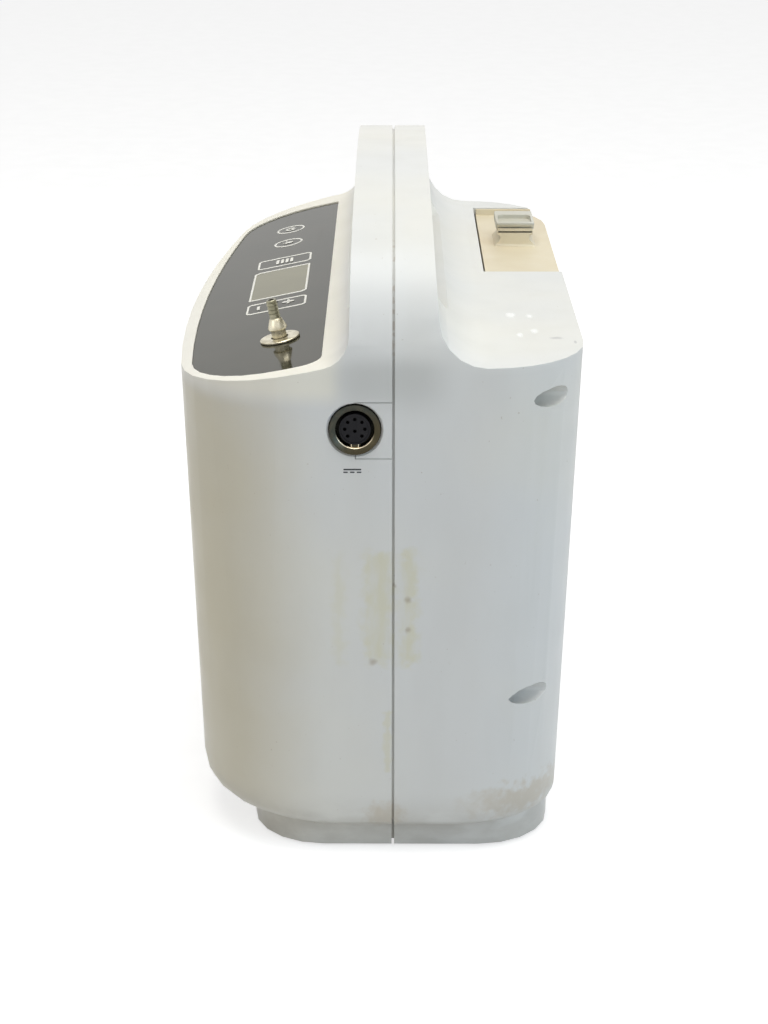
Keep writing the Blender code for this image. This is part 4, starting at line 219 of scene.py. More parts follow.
def offset(tree, value, centre):
    """How far a value is from a centre, either way."""
    return combine(tree, "ABSOLUTE", combine(tree, "SUBTRACT", value, centre))


def axes(tree, place):
    """The three coordinates of a place, by name."""
    parts = tree.nodes.new("ShaderNodeSeparateXYZ")
    tree.links.new(place, parts.inputs["Vector"])
    return parts.outputs


def colour_sockets(node):
    """The two colour inputs and the colour output of a mix node."""
    return node.inputs[6], node.inputs[7], node.outputs[2]


def tint(tree, amount, first, second):
    """One colour changed into another by an amount."""
    node = tree.nodes.new("ShaderNodeMix")
    node.data_type = "RGBA"
    low, high, result = colour_sockets(node)
    tree.links.new(amount, node.inputs[0])
    for socket, colour in ((low, first), (high, second)):
        if isinstance(colour, tuple):
            socket.default_value = (*colour, 1)
        else:
            tree.links.new(colour, socket)
    return result


def marked(tree, colour, mask, amount, shade):
    """A colour taken part of the way to a shade where a mask allows it."""
    return tint(tree, times(tree, mask, amount), colour, shade)


def relief(tree, shader, height, depth, strength):
    """A fine surface height turned into the shader's normal."""
    node = tree.nodes.new("ShaderNodeBump")
    node.inputs["Strength"].default_value = strength
    node.inputs["Distance"].default_value = depth
    tree.links.new(height, node.inputs["Height"])
    tree.links.new(node.outputs["Normal"], shader.inputs["Normal"])


def patch(tree, place, centre, size, soft=0.25, ragged=0.0, grain=150):
    """A mark with soft edges at one place on the object: 1 inside, 0 outside."""
    if ragged:
        wander = tree.nodes.new("ShaderNodeTexNoise")
        wander.inputs["Scale"].default_value = grain
        wander.inputs["Detail"].default_value = 4
        tree.links.new(place, wander.inputs["Vector"])
        shift = tree.nodes.new("ShaderNodeVectorMath")
        shift.operation = "MULTIPLY_ADD"
        shift.inputs[1].default_value = (ragged, ragged, ragged)
        shift.inputs[2].default_value = (-ragged / 2, -ragged / 2, -ragged / 2)
        tree.links.new(wander.outputs["Color"], shift.inputs[0])
        moved = tree.nodes.new("ShaderNodeVectorMath")
        tree.links.new(place, moved.inputs[0])
        tree.links.new(shift.outputs["Vector"], moved.inputs[1])
        place = moved.outputs["Vector"]
    turn = tree.nodes.new("ShaderNodeMapping")
    turn.vector_type = "TEXTURE"
    turn.inputs["Location"].default_value = centre
    turn.inputs["Scale"].default_value = size
    tree.links.new(place, turn.inputs["Vector"])
    reach = tree.nodes.new("ShaderNodeVectorMath")
    reach.operation = "LENGTH"
    tree.links.new(turn.outputs["Vector"], reach.inputs[0])
    return fall(tree, reach.outputs["Value"], 1 - soft, 1 + soft)


def strip(tree, place, mark, soft, ragged):
    """A mark with straight sides on the near end wall: its middle and half size, across and up."""
    middle_across, middle_up, half_across, half_up = mark
    wander = mottle(tree, place, 260, 5)
    drift = times(tree, combine(tree, "SUBTRACT", wander, 0.5), ragged * 2)
    spot = axes(tree, place)
    across = combine(tree, "ADD", offset(tree, spot["X"], middle_across), drift)
    up = combine(tree, "ADD", offset(tree, spot["Z"], middle_up), drift)
    across = fall(tree, across, half_across - soft, half_across + soft)
    up = fall(tree, up, half_up - soft, half_up + soft)
    near = spread(tree, spot["Y"], -0.125, -0.135)
    return times(tree, across, up, near)


def corner_tan_and_rim_highlight(tree, place, spot, colour):
    """One corner taken darker and tan down its side, and a painted highlight in cream on the panel's rim
    above it.
    """
    # The near left corner is taken darker and tan down its side.
    corner = patch(tree, place, CORNER_PLACE, CORNER_REACH, 0.55, 0.016, 25)
    corner = times(tree, corner, fall(tree, spot["Z"], 0.186, 0.196))
    colour = marked(tree, colour, corner, 0.85, CORNER_TAN)
    # Painted highlight: the panel's rim on the left is taken lighter and cream.
    rim = times(tree, spread(tree, spot["Z"], 0.188, 0.197), fall(tree, spot["X"], -0.018, -0.010))
    return marked(tree, colour, rim, 0.75, RIM_HIGHLIGHT_CREAM)


def old_glue(tree, place, colour):
    """What a label left on the near end: yellow bands, a few dark spots and one streak."""
    glue = combine(tree, "MAXIMUM", *[strip(tree, place, mark, 0.0030, 0.0050) for mark in GLUE_STRIPS])
    faint = times(tree, strip(tree, place, FAINT_GLUE, 0.0025, 0.0040), 0.5)
    glue = combine(tree, "MAXIMUM", glue, faint)
    worn = spread(tree, mottle(tree, place, 170, 6, (1, 1, 0.3)), 0.32, 0.62, 0.30, 1.0)
    colour = marked(tree, colour, times(tree, glue, worn), 0.55, GLUE_YELLOW)
    spots = patch(tree, place, LOW_SPOT, LOW_SPOT_SIZE, 0.9, 0.0014, 700)
    for x, z, r in SPOTS:
        spot = patch(tree, place, (x, -0.142, z), (r, 0.02, r), 0.9, 0.0014, 700)
        spots = combine(tree, "MAXIMUM", spots, spot)
    colour = marked(tree, colour, spots, 0.45, GRIME)
    streak = strip(tree, place, GLUE_STREAK, 0.001, 0.003)
    return marked(tree, colour, streak, 0.40, GLUE_YELLOW)


def stains_plinth_shade_and_specks(tree, place, spot, colour):
    """Tan stains near the base, painted shade on the plinth in uneven patches, and specks all over."""
    stain = combine(
        tree,
        "MAXIMUM",
        patch(tree, place, *SEAM_STAIN, 0.6, 0.012, 320),
        patch(tree, place, *SIDE_STAIN, 0.7, 0.020, 260),
    )
    colour = marked(tree, colour, stain, 0.45, STAIN_TAN)
    # Painted shade: the plinth is taken greyer towards the floor, in uneven patches.
    plinth_shade_patches = spread(tree, mottle(tree, place, 70, 5, (1, 1, 2)), 0.30, 0.62, 0.35, 1.0)
    colour = marked(tree, colour, times(tree, fall(tree, spot["Z"], 0.010, 0.030), plinth_shade_patches), 0.45, DUST_AND_SHADE_GREY)
    specks = spread(tree, mottle(tree, place, 620, 2), 0.735, 0.80)
    return marked(tree, colour, specks, 0.30, GRIME)


def seam_crumbs_and_foot_shade(tree, place, spot, colour):
    """Crumbs in the seam up the handle, and painted shade in the hollow at the handle's foot."""
    crumbs = fall(tree, offset(tree, spot["X"], SEAM_X), 0.0004, 0.0008)
    crumbs = times(tree, crumbs, spread(tree, mottle(tree, place, 300, 4), 0.46, 0.60))
    crumbs = times(tree, crumbs, spread(tree, spot["Z"], 0.200, 0.212), fall(tree, spot["Z"], 0.242, 0.247))
    colour = marked(tree, colour, crumbs, 0.35, SEAM_DIRT)
    # Painted shade: the hollow at the handle's foot is taken greyer.
    foot = fall(tree, offset(tree, spot["X"], HANDLE_X), 0.010, 0.027)
    foot = times(tree, foot, fall(tree, spot["Y"], -0.134, -0.128))
    foot = times(tree, foot, spread(tree, spot["Z"], 0.182, 0.200), fall(tree, spot["Z"], 0.203, 0.212))
    return marked(tree, colour, foot, 0.65, FOOT_SHADE_GREY)


def housing_plastic():
    """Off-white ABS, darker and tan at one corner, with a painted highlight on the panel's rim, painted
    shade at the handle's foot and on the plinth, and old glue, scuffs and specks on the near end.
    """
    finish, tree, shader, place = new_finish("housing_plastic")
    spot = axes(tree, place)
    colour = tint(tree, spread(tree, mottle(tree, place, 9, 3), 0.35, 0.65), WHITE, WHITE_COOL)
    colour = corner_tan_and_rim_highlight(tree, place, spot, colour)
    haze = spread(tree, mottle(tree, place, 55, 5, (1, 1, 0.35)), 0.40, 0.72)
    colour = marked(tree, colour, haze, 0.06, DUST_AND_SHADE_GREY)
    colour = old_glue(tree, place, colour)
    colour = seam_crumbs_and_foot_shade(tree, place, spot, colour)
    colour = stains_plinth_shade_and_specks(tree, place, spot, colour)
    rub = patch(tree, place, (0.0526, -0.0706, SHOULDER_TOP), RUB_SIZE, 0.4, 0.002, 400)
    for x, y, r in CHIPS:
        chip = patch(tree, place, (x, y, SHOULDER_TOP), (r, r * CHIP_STRETCH, 0.002), 0.4, 0.002, 400)
        rub = combine(tree, "MAXIMUM", rub, chip)
    colour = tint(tree, rub, colour, BARE_WHITE)
    scrape = patch(tree, place, (0.0683, -0.1042, SHOULDER_TOP), SCRAPE_SIZE, 0.5, 0.002, 400)
    nick = patch(tree, place, (0.0751, -0.1098, SHOULDER_TOP), NICK_SIZE)
    colour = marked(tree, colour, combine(tree, "MAXIMUM", scrape, nick), 0.45, SCRAPE_GREY)
    tree.links.new(colour, shader.inputs["Base Color"])
    rough = spread(tree, mottle(tree, place, 60, 4), 0.3, 0.7, 0.36, 0.46)
    tree.links.new(combine(tree, "SUBTRACT", rough, times(tree, rub, 0.2)), shader.inputs["Roughness"])
    relief(tree, shader, mottle(tree, place, 2600, 2), 0.00004, 0.35)
    return finish


socket_out = Vector((0, -math.cos(WALL_SLOPE), math.sin(WALL_SLOPE)))
socket_side = Vector((1, 0, 0))
socket_rise = socket_out.cross(socket_side)
socket_turn = Matrix((socket_side, socket_rise, socket_out)).transposed().to_4x4()
socket_place = Matrix.Translation(SOCKET_MIDDLE) @ socket_turn


def cut_away(piece, cutter, name):
    """A shape taken out of a piece, and the cutter thrown away."""
    cut = piece.modifiers.new(name, "BOOLEAN")
    cut.object = cutter
    cut.solver = "EXACT"
    finish_modifiers(piece)
    bpy.data.objects.remove(cutter)
    take(piece)


def socket_seat(piece):
    """The shallow sloped seat round the power socket, sunk in the near end wall."""
    let_go()
    bpy.ops.mesh.primitive_cone_add(vertices=128, radius1=SEAT_INNER, radius2=SEAT_OUTER, depth=SEAT_DEPTH)
    cutter = bpy.context.active_object
    cutter.location.z = -SEAT_SINK
    bpy.ops.object.transform_apply(location=True)
    cutter.matrix_world = socket_place
    cut_away(piece, cutter, "socket_seat")


housing = housing_plastic()
front_half = smooth_moulding("front_shell", "front_housing_half", 0, shape=socket_seat)
coat(front_half, housing)
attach(front_half, "unit")
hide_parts("front_shell")


# Rear half of the housing: the same moulding in mirror, of the same ABS, without the panel.
# It has the flat shoulder with the battery bay and takes the case screws in four deep wells.
rear_half = smooth_moulding("rear_shell", "rear_housing_half", 0)
coat(rear_half, housing)
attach(rear_half, "unit")
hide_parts("rear_shell")


# Socket insert: a small blank of the housing's plastic beside the power socket.
# It is clipped between the two halves, so fine parting lines show above and below it.
insert = smooth_moulding("socket_insert", "socket_insert_plate", 0.0001, shape=socket_seat)
coat(insert, housing)
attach(insert, "unit")
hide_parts("socket_insert")


# Control panel film: a printed polyester overlay with a gloss face, stuck in a shallow seat.
# Its keys are cut from the same film, and its graphics are thin white ink.
FILM_GREY = (0.036, 0.036, 0.022)
FILM_WARM = (0.046, 0.043, 0.028)
FILM_SHINE = 0.165
FILM_SHINE_TINT = (1.0, 0.985, 0.88, 1.0)
FILM_ROUGH = 0.07

film_node = frame["nodes"]["control_overlay"]
film_face = max((f for f in film_node.data.polygons if f.normal.z > 0.9), key=lambda f: f.area)
film_up = film_face.normal.copy()
film_across = Vector((film_up.z, 0, -film_up.x)).normalized()
film_along = film_up.cross(film_across)
film_turn = Matrix((film_across, film_along, film_up)).transposed().to_4x4()


def film_point(x, y):
    """The film's surface at a place seen from above."""
    middle = film_face.center
    lean = film_up.x * (x - middle.x) + film_up.y * (y - middle.y)
    return Vector((x, y, middle.z - lean / film_up.z))


def gloss_film(name, dark, light, rough):
    """Gloss polyester with faint cloudiness and hairline rub marks."""
    finish, tree, shader, place = new_finish(name)
    cloud = spread(tree, mottle(tree, place, 30, 3), 0.3, 0.7)
    tree.links.new(tint(tree, cloud, dark, light), shader.inputs["Base Color"])
    rubs = spread(tree, mottle(tree, place, 240, 3, (1, 0.08, 1)), 0.55, 0.75, rough, rough + 0.10)
    tree.links.new(rubs, shader.inputs["Roughness"])
    shader.inputs["Specular IOR Level"].default_value = FILM_SHINE
    shader.inputs["Specular Tint"].default_value = FILM_SHINE_TINT
    relief(tree, shader, mottle(tree, place, 120, 2), 0.00001, 0.25)
    return finish


def wear_finish(node, finish):
    """A CAD part whose own shape shows, in one finish."""
    for holder in frame["nodes"][node].material_slots:
        holder.material = finish


film_finish = gloss_film("panel_film_grey", FILM_GREY, FILM_WARM, FILM_ROUGH)
film_piece = smooth_moulding("control_overlay", "panel_film_sheet", 0)
coat(film_piece, film_finish)
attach(film_piece, "unit")
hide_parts("control_overlay")
for key in ("key_power", "key_alarm", "key_mode", "key_minus", "key_plus"):
    wear_finish(key, film_finish)


# White printing on the film: thin outlines round the keys and the window, and plain signs.
# It is screen-printed ink, a few hundredths of a millimetre thick.
INK = (0.90, 0.90, 0.86)
INK_THIN = (0.78, 0.78, 0.71)
INK_HEIGHT = 0.00006
FILM_LIFT = 0.00002
KEY_LIFT = 0.00014
LINE = 0.00085
LINE_ACROSS = 0.00150
ALL_CORNERS = {(False, False), (False, True), (True, False), (True, True)}
WINDOW_CORNERS = {(False, True), (True, False)}
ROUND_KEY = 0.0062
MODE_FRAME = (0.0232, 0.0145)
FLOW_FRAME = (0.0242, 0.0145)
WINDOW_FRAME = (0.0238, 0.0454)
KEY_CORNER = 0.0025
WINDOW_CORNER = 0.0022
MINUS_SHIFT = Vector((-0.0012, 0))
PLUS_SHIFT = Vector((-0.0014, 0.0015))
BAR_STEP = 0.0021


def ink_finish():
    """Matt white ink with slightly uneven cover."""
    finish, tree, shader, place = new_finish("white_ink")
    cover = spread(tree, mottle(tree, place, 900, 3), 0.3, 0.7)
    tree.links.new(tint(tree, cover, INK, INK_THIN), shader.inputs["Base Color"])
    rough = spread(tree, mottle(tree, place, 400, 2), 0.3, 0.7, 0.35, 0.5)
    tree.links.new(rough, shader.inputs["Roughness"])
    return finish


ink = ink_finish()


def ink_layer(piece):
    """A drawn shape given the thickness of ink."""
    solid = piece.modifiers.new("ink", "SOLIDIFY")
    solid.thickness = INK_HEIGHT
    solid.offset = 1
    finish_modifiers(piece)


def printed(piece, name, spot, body, lift=FILM_LIFT):
    """A flat drawn shape given its thickness and laid on the film at a place."""
    piece.name = name
    ink_layer(piece)
    base = film_point(*spot) + film_up * lift
    piece.matrix_world = Matrix.Translation(base) @ film_turn @ piece.matrix_world
    take(piece)
    bpy.ops.object.transform_apply(location=True, rotation=True, scale=True)
    coat(piece, ink)
    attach(piece, body)


def thicken_ends(ratio):
    """The inner face drawn in along the panel, so lines across it come out thicker, then removed."""
    bpy.ops.transform.resize(value=(1, ratio, 1))
    bpy.ops.mesh.delete(type="ONLY_FACE")
    bpy.ops.object.mode_set(mode="OBJECT")


def ring_line(radius, width=LINE, steps=56):
    """A drawn circle, heavier where its line runs across the panel."""
    let_go()
    bpy.ops.mesh.primitive_circle_add(vertices=steps, radius=radius + width / 2, fill_type="NGON")
    bpy.ops.object.mode_set(mode="EDIT")
    bpy.ops.mesh.select_all(action="SELECT")
    bpy.ops.mesh.inset(thickness=width)
    thicken_ends((radius + width / 2 - LINE_ACROSS) / (radius - width / 2))
    return bpy.context.active_object


def frame_line(size, corners, cut, steps):
    """A drawn frame; the corners named by their signs are cut off or rounded."""
    width, length = size
    let_go()
    bpy.ops.mesh.primitive_plane_add(size=1)
    piece = bpy.context.active_object
    piece.scale = (width + LINE, length + LINE, 1)
    bpy.ops.object.transform_apply(scale=True)
    bpy.ops.object.mode_set(mode="EDIT")
    bpy.ops.mesh.select_all(action="DESELECT")
    bpy.ops.object.mode_set(mode="OBJECT")
    for point in piece.data.vertices:
        point.select = (point.co.x > 0, point.co.y > 0) in corners
    bpy.ops.object.mode_set(mode="EDIT")
    bpy.ops.mesh.select_mode(type="VERT")
    bpy.ops.mesh.bevel(offset=cut, segments=steps, affect="VERTICES")
    bpy.ops.mesh.select_all(action="SELECT")
    bpy.ops.mesh.inset(thickness=LINE)
    thicken_ends((length + LINE - 2 * LINE_ACROSS) / (length - LINE))
    return piece


def stroke(length, width, shift=(0, 0)):
    """A short drawn bar with rounded corners."""
    let_go()
    bpy.ops.mesh.primitive_plane_add(size=1)
    piece = bpy.context.active_object
    piece.scale = (length, width, 1)
    piece.location = (*shift, 0)
    bpy.ops.object.transform_apply(location=True, scale=True)
    bpy.ops.object.mode_set(mode="EDIT")
    bpy.ops.mesh.select_all(action="SELECT")
    bpy.ops.mesh.bevel(offset=min(length, width) * 0.45, segments=4, affect="VERTICES")
    bpy.ops.object.mode_set(mode="OBJECT")
    return piece


def joined(*pieces):
    """Several drawn shapes as one."""
    let_go()
    for piece in pieces:
        piece.select_set(True)
    bpy.context.view_layer.objects.active = pieces[0]
    bpy.ops.object.join()
    return pieces[0]


def middle(node):
    """A CAD part's centre seen from above."""
    low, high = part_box(node)
    return ((low.x + high.x) / 2, (low.y + high.y) / 2)


def round_spot(radius, shift=(0, 0), stretch=1.0):
    """A small drawn disc."""
    let_go()
    bpy.ops.mesh.primitive_circle_add(vertices=24, radius=radius, fill_type="NGON", location=(*shift, 0))
    bpy.ops.transform.resize(value=(stretch, 1, 1), center_override=(*shift, 0))
    bpy.ops.object.transform_apply(location=True, scale=True)
    return bpy.context.active_object


def open_ring(radius, width, gap):
    """A drawn circle with its top left open."""
    ring = ring_line(radius, width, 36)
    bpy.ops.object.mode_set(mode="EDIT")
    bpy.ops.mesh.select_mode(type="FACE")
    bpy.ops.mesh.select_all(action="DESELECT")
    bpy.ops.object.mode_set(mode="OBJECT")
    for face in ring.data.polygons:
        face.select = face.center.x > 0 and abs(face.center.y) < gap
    bpy.ops.object.mode_set(mode="EDIT")
    bpy.ops.mesh.delete(type="FACE")
    bpy.ops.object.mode_set(mode="OBJECT")
    return ring


minus_middle = Vector(middle("key_minus"))
plus_middle = Vector(middle("key_plus"))
printed(ring_line(ROUND_KEY), "outline_power", middle("key_power"), "unit")
printed(ring_line(ROUND_KEY), "outline_alarm", middle("key_alarm"), "unit")
mode_frame = frame_line(MODE_FRAME, ALL_CORNERS, KEY_CORNER, 6)
printed(mode_frame, "outline_mode", middle("key_mode"), "unit")
flow_frame = frame_line(FLOW_FRAME, ALL_CORNERS, KEY_CORNER, 6)
printed(flow_frame, "outline_flow", (minus_middle + plus_middle) / 2, "unit")
window_frame = frame_line(WINDOW_FRAME, WINDOW_CORNERS, WINDOW_CORNER, 1)
printed(window_frame, "outline_window", middle("lcd_window"), "unit")
printed(stroke(0.0012, 0.0056), "sign_minus", minus_middle + MINUS_SHIFT, "minus_key", KEY_LIFT)
plus_sign = joined(stroke(0.0011, 0.0058), stroke(0.0052, 0.0019))
printed(plus_sign, "sign_plus", plus_middle + PLUS_SHIFT, "plus_key", KEY_LIFT)
power_sign = joined(open_ring(0.0021, 0.0008, 0.0011), stroke(0.0022, 0.0011, (0.0015, 0)))
printed(power_sign, "sign_power", middle("key_power"), "power_key", KEY_LIFT)
alarm_sign = joined(
    round_spot(0.0014, (0.0005, 0), 1.25),
    stroke(0.0007, 0.0044, (-0.0010, 0)),
    round_spot(0.0005, (-0.0019, 0)),
)
printed(alarm_sign, "sign_alarm", middle("key_alarm"), "alarm_key", KEY_LIFT)
mode_sign = joined(*[stroke(0.0013, 0.0066, (row * BAR_STEP, 0)) for row in (-1.5, -0.5, 0.5, 1.5)])
printed(mode_sign, "sign_mode", middle("key_mode"), "mode_key", KEY_LIFT)


# Display window: a clear hard-coated window over a grey-green liquid crystal glass.
# It sits in a ledge of the front half, level with the film.
LCD_GREEN = (0.245, 0.235, 0.150)
LCD_DULL = (0.210, 0.200, 0.130)
wear_finish("lcd_window", gloss_film("display_glass", LCD_GREEN, LCD_DULL, 0.10))


# Outlet nozzle and its washer: turned brass, nickel plated, gone slightly yellow.
# The nozzle screws through the washer and the shoulder into a nut inside.
BARB_SPOT = (-0.0374, -0.0925)
STEM_TOP = [(0.0012, 0.0160), (0.0018, 0.0160), (0.0020, 0.0158), (0.00205, 0.0150)]
RIB_TOP = 0.0148
RIB_STEP = 0.0015
STEM_CONE = [(0.0021, 0.0087), (0.0024, 0.0084), (0.0037, 0.0051), (0.00375, 0.0046), (0.0036, 0.0044)]
STEM_END = [(0.0029, 0.0043), (0.0029, -0.0095), (0.0021, -0.0096), (0.0012, -0.0096)]
DISC_EDGE = [(0.0034, 0.0001), (0.0075, 0.0001), (0.0078, 0.0003), (0.0078, 0.0008), (0.0076, 0.0010)]
DISC_TOP = [(0.0072, 0.0011), (0.0042, 0.0011), (0.0034, 0.0010)]
NICKEL = (0.76, 0.71, 0.56)
NICKEL_DULL = (0.55, 0.50, 0.37)
TARNISH = (0.25, 0.24, 0.165)


def plated_metal(name, bright, dull, low, high, marks=None):
    """Plated metal, worn unevenly, with fine turning marks round it."""
    finish, tree, shader, place = new_finish(name)
    wear = spread(tree, mottle(tree, place, 380, 4), 0.35, 0.65)
    colour = tint(tree, wear, bright, dull)
    for mask, shade in marks(tree, place) if marks else ():
        colour = tint(tree, mask, colour, shade)
    tree.links.new(colour, shader.inputs["Base Color"])
    rough = spread(tree, mottle(tree, place, 700, 3), 0.3, 0.7, low, high)
    tree.links.new(rough, shader.inputs["Roughness"])
    shader.inputs["Metallic"].default_value = 1.0
    relief(tree, shader, mottle(tree, place, 2200, 2, (1, 1, 4)), 0.00003, 0.3)
    return finish


def turned(name, profile, place, steps=72):
    """A round piece drawn ring by ring back to its first ring, then set in its place."""
    let_go()
    first_radius, first_height = profile[0]
    bpy.ops.mesh.primitive_circle_add(vertices=steps, radius=first_radius, location=(0, 0, first_height))
    piece = bpy.context.active_object
    piece.name = name
    bpy.ops.object.mode_set(mode="EDIT")
    bpy.ops.mesh.select_all(action="SELECT")
    for (radius, height), (next_radius, next_height) in zip(profile, [*profile[1:], profile[0]]):
        rise = (0, 0, next_height - height)
        bpy.ops.mesh.extrude_edges_move(TRANSFORM_OT_translate={"value": rise})
        grow = next_radius / radius
        bpy.ops.transform.resize(value=(grow, grow, 1))
    bpy.ops.mesh.select_all(action="SELECT")
    bpy.ops.mesh.remove_doubles(threshold=0.000001)
    bpy.ops.mesh.normals_make_consistent(inside=False)
    bpy.ops.object.mode_set(mode="OBJECT")
    piece.matrix_world = place @ piece.matrix_world
    bpy.ops.object.transform_apply(location=True, rotation=True, scale=True)
    bpy.ops.object.shade_smooth_by_angle(angle=math.radians(32))
    return piece


nozzle_foot = film_point(*BARB_SPOT)
nozzle_place = Matrix.Translation(nozzle_foot) @ film_turn
ribs = []
for rib in range(4):
    top = RIB_TOP - rib * RIB_STEP
    ribs += [(0.00200, top), (0.00222, top - 0.0009), (0.00200, top - 0.0011)]


def stem_tarnish(tree, place):
    """Where the stem above the cone has gone dull and green-grey."""
    rise = tree.nodes.new("ShaderNodeVectorMath")
    rise.operation = "DOT_PRODUCT"
    rise.inputs[1].default_value = film_up
    tree.links.new(place, rise.inputs[0])
    base = film_up.dot(nozzle_foot)
    above = spread(tree, rise.outputs["Value"], base + 0.0084, base + 0.0088)
    patchy = spread(tree, mottle(tree, place, 500, 3), 0.3, 0.7, 0.75, 1.0)
    return [(times(tree, above, patchy), TARNISH)]


nickel = plated_metal("nickel_plate", NICKEL, NICKEL_DULL, 0.22, 0.36, stem_tarnish)
nozzle = turned("outlet_nozzle", [*STEM_TOP, *ribs, *STEM_CONE, *STEM_END], nozzle_place)
coat(nozzle, nickel)
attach(nozzle, "unit")
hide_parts("outlet_barb")
washer = turned("outlet_washer", [*DISC_EDGE, *DISC_TOP], nozzle_place)
coat(washer, nickel)
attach(washer, "unit")
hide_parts("barb_washer")


# Power socket: a round plated metal shell with a wide bevelled rim, pressed into the end wall.
# A short key inside its lower lip keeps the plug the right way up.
RIM_FACE = [(0.0095, -0.0033), (0.0095, 0.0000), (0.0094, 0.00025), (0.0091, 0.0003), (0.0073, -0.0005)]
RIM_CUP = [(0.0071, -0.0007), (0.0070, -0.0011), (0.0070, -0.0055), (0.0053, -0.0055), (0.0053, -0.0165)]
RIM_BACK = [(0.0057, -0.0165), (0.0057, -0.0061), (0.0076, -0.0061), (0.0076, -0.0033)]
KEY_SIZE = (0.0030, 0.0014, 0.0044)
KEY_TOP = -0.0010
CUP_RADIUS = 0.0070
KEY_EDGE = 0.00025
GUNMETAL = (0.044, 0.048, 0.040)
GUNMETAL_DULL = (0.062, 0.060, 0.047)
BRONZED = (0.060, 0.052, 0.032)
CUP_SHADE_BLACK = (0.008, 0.008, 0.007)
LIP_HIGHLIGHT_AND_KEY_EDGE = (0.85, 0.74, 0.55)


def socket_bronze_shade_and_highlight(tree, place):
    """Bronzed towards one side, with painted shade inside the cup, a painted highlight on the lower lip and
    bright edges on the key.
    """
    spot = axes(tree, place)
    across = combine(tree, "SUBTRACT", spot["X"], SOCKET_MIDDLE.x)
    up = combine(tree, "SUBTRACT", spot["Z"], SOCKET_MIDDLE.z)
    square = combine(tree, "ADD", combine(tree, "POWER", across, 2.0), combine(tree, "POWER", up, 2.0))
    radius = combine(tree, "SQRT", square)
    side = combine(tree, "ABSOLUTE", across)
    key_height = fall(tree, up, -0.0052, -0.0050)
    # Painted highlight on the lower half of the lip, in a pale gold; the key's side edges are made as
    # bright.
    lip = times(tree, fall(tree, radius, 0.00725, 0.00745), spread(tree, radius, 0.0069, 0.0070))
    lip = times(tree, lip, fall(tree, spot["Y"], -0.1441, -0.1436), fall(tree, up, -0.0052, -0.0015))
    edge = times(tree, spread(tree, side, 0.00115, 0.0013), fall(tree, side, 0.0016, 0.0018))
    edge = times(tree, edge, key_height, fall(tree, radius, 0.0069, 0.0071))
    bronze = spread(tree, combine(tree, "SUBTRACT", across, up), -0.004, 0.009)
    key = times(tree, fall(tree, side, 0.0015, 0.0017), key_height)
    # Painted shade: the inside of the cup is taken nearly black, all but the key.
    cup_shade = times(tree, spread(tree, spot["Y"], -0.1441, -0.1434), combine(tree, "SUBTRACT", 1.0, key))
    cup_shade = times(tree, fall(tree, radius, 0.00695, 0.00708), cup_shade)
    return [(bronze, BRONZED), (cup_shade, CUP_SHADE_BLACK), (combine(tree, "MAXIMUM", lip, edge), LIP_HIGHLIGHT_AND_KEY_EDGE)]


gunmetal = plated_metal("gunmetal_plate", GUNMETAL, GUNMETAL_DULL, 0.26, 0.42, socket_bronze_shade_and_highlight)
socket_ring = turned("socket_ring", [*RIM_FACE, *RIM_CUP, *RIM_BACK], socket_place, 96)
let_go()
bpy.ops.mesh.primitive_cube_add(size=1)
key_block = bpy.context.active_object
key_block.scale = KEY_SIZE
key_block.location = (0, KEY_SIZE[1] / 2 - CUP_RADIUS, KEY_TOP - KEY_SIZE[2] / 2)
bpy.ops.object.transform_apply(location=True, scale=True)
bpy.ops.object.mode_set(mode="EDIT")
bpy.ops.mesh.bevel(offset=KEY_EDGE, segments=2)
bpy.ops.object.mode_set(mode="OBJECT")
key_block.matrix_world = socket_place
bpy.ops.object.transform_apply(location=True, rotation=True, scale=True)
socket_ring = joined(socket_ring, key_block)
coat(socket_ring, gunmetal)
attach(socket_ring, "unit")
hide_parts("dc_socket_shell")


# Socket insulator: a black nylon disc with a raised rim, held in the middle of the metal shell.
# It has seven contact holes round it at eighths of a turn and one just below its centre.
INSULATOR_RADIUS = 0.0058
INSULATOR_FACE = -0.0008
INSULATOR_DEPTH = 0.0100
RIM_STEPS = (0.00015, 0.00035, 0.00010)
FACE_DROP = 0.00035
HOLE_RADIUS = 0.00068
HOLE_CIRCLE = 0.0037
HOLE_DEPTH = 0.006
INSULATOR_BLACK = (0.007, 0.007, 0.009)
INSULATOR_WORN = (0.014, 0.013, 0.015)


def moulded(name, first, second, low=0.4, high=0.52, patches=22, grain=1800, depth=0.00004):
    """Moulded plastic of one colour that varies a little, with its fine grain."""
    finish, tree, shader, place = new_finish(name)
    cloud = spread(tree, mottle(tree, place, patches, 3), 0.3, 0.7)
    tree.links.new(tint(tree, cloud, first, second), shader.inputs["Base Color"])
    rough = spread(tree, mottle(tree, place, 90, 3), 0.3, 0.7, low, high)
    tree.links.new(rough, shader.inputs["Roughness"])
    relief(tree, shader, mottle(tree, place, grain, 2), depth, 0.4)
    return finish


let_go()
bpy.ops.mesh.primitive_cylinder_add(vertices=64, radius=INSULATOR_RADIUS, depth=INSULATOR_DEPTH)
insulator_disc = bpy.context.active_object
insulator_disc.name = "socket_insulator"
insulator_disc.location.z = INSULATOR_FACE - INSULATOR_DEPTH / 2
bpy.ops.object.transform_apply(location=True)
bpy.ops.object.mode_set(mode="EDIT")
bpy.ops.mesh.select_mode(type="FACE")
bpy.ops.mesh.select_all(action="DESELECT")
bpy.ops.object.mode_set(mode="OBJECT")
for face in insulator_disc.data.polygons:
    face.select = face.normal.z > 0.9
bpy.ops.object.mode_set(mode="EDIT")
for step in RIM_STEPS:
    bpy.ops.mesh.inset(thickness=step)
bpy.ops.transform.translate(value=(0, 0, -FACE_DROP))
bpy.ops.object.mode_set(mode="OBJECT")
pins = []
eighths = [math.radians(45 * step) for step in range(8) if step != 6]
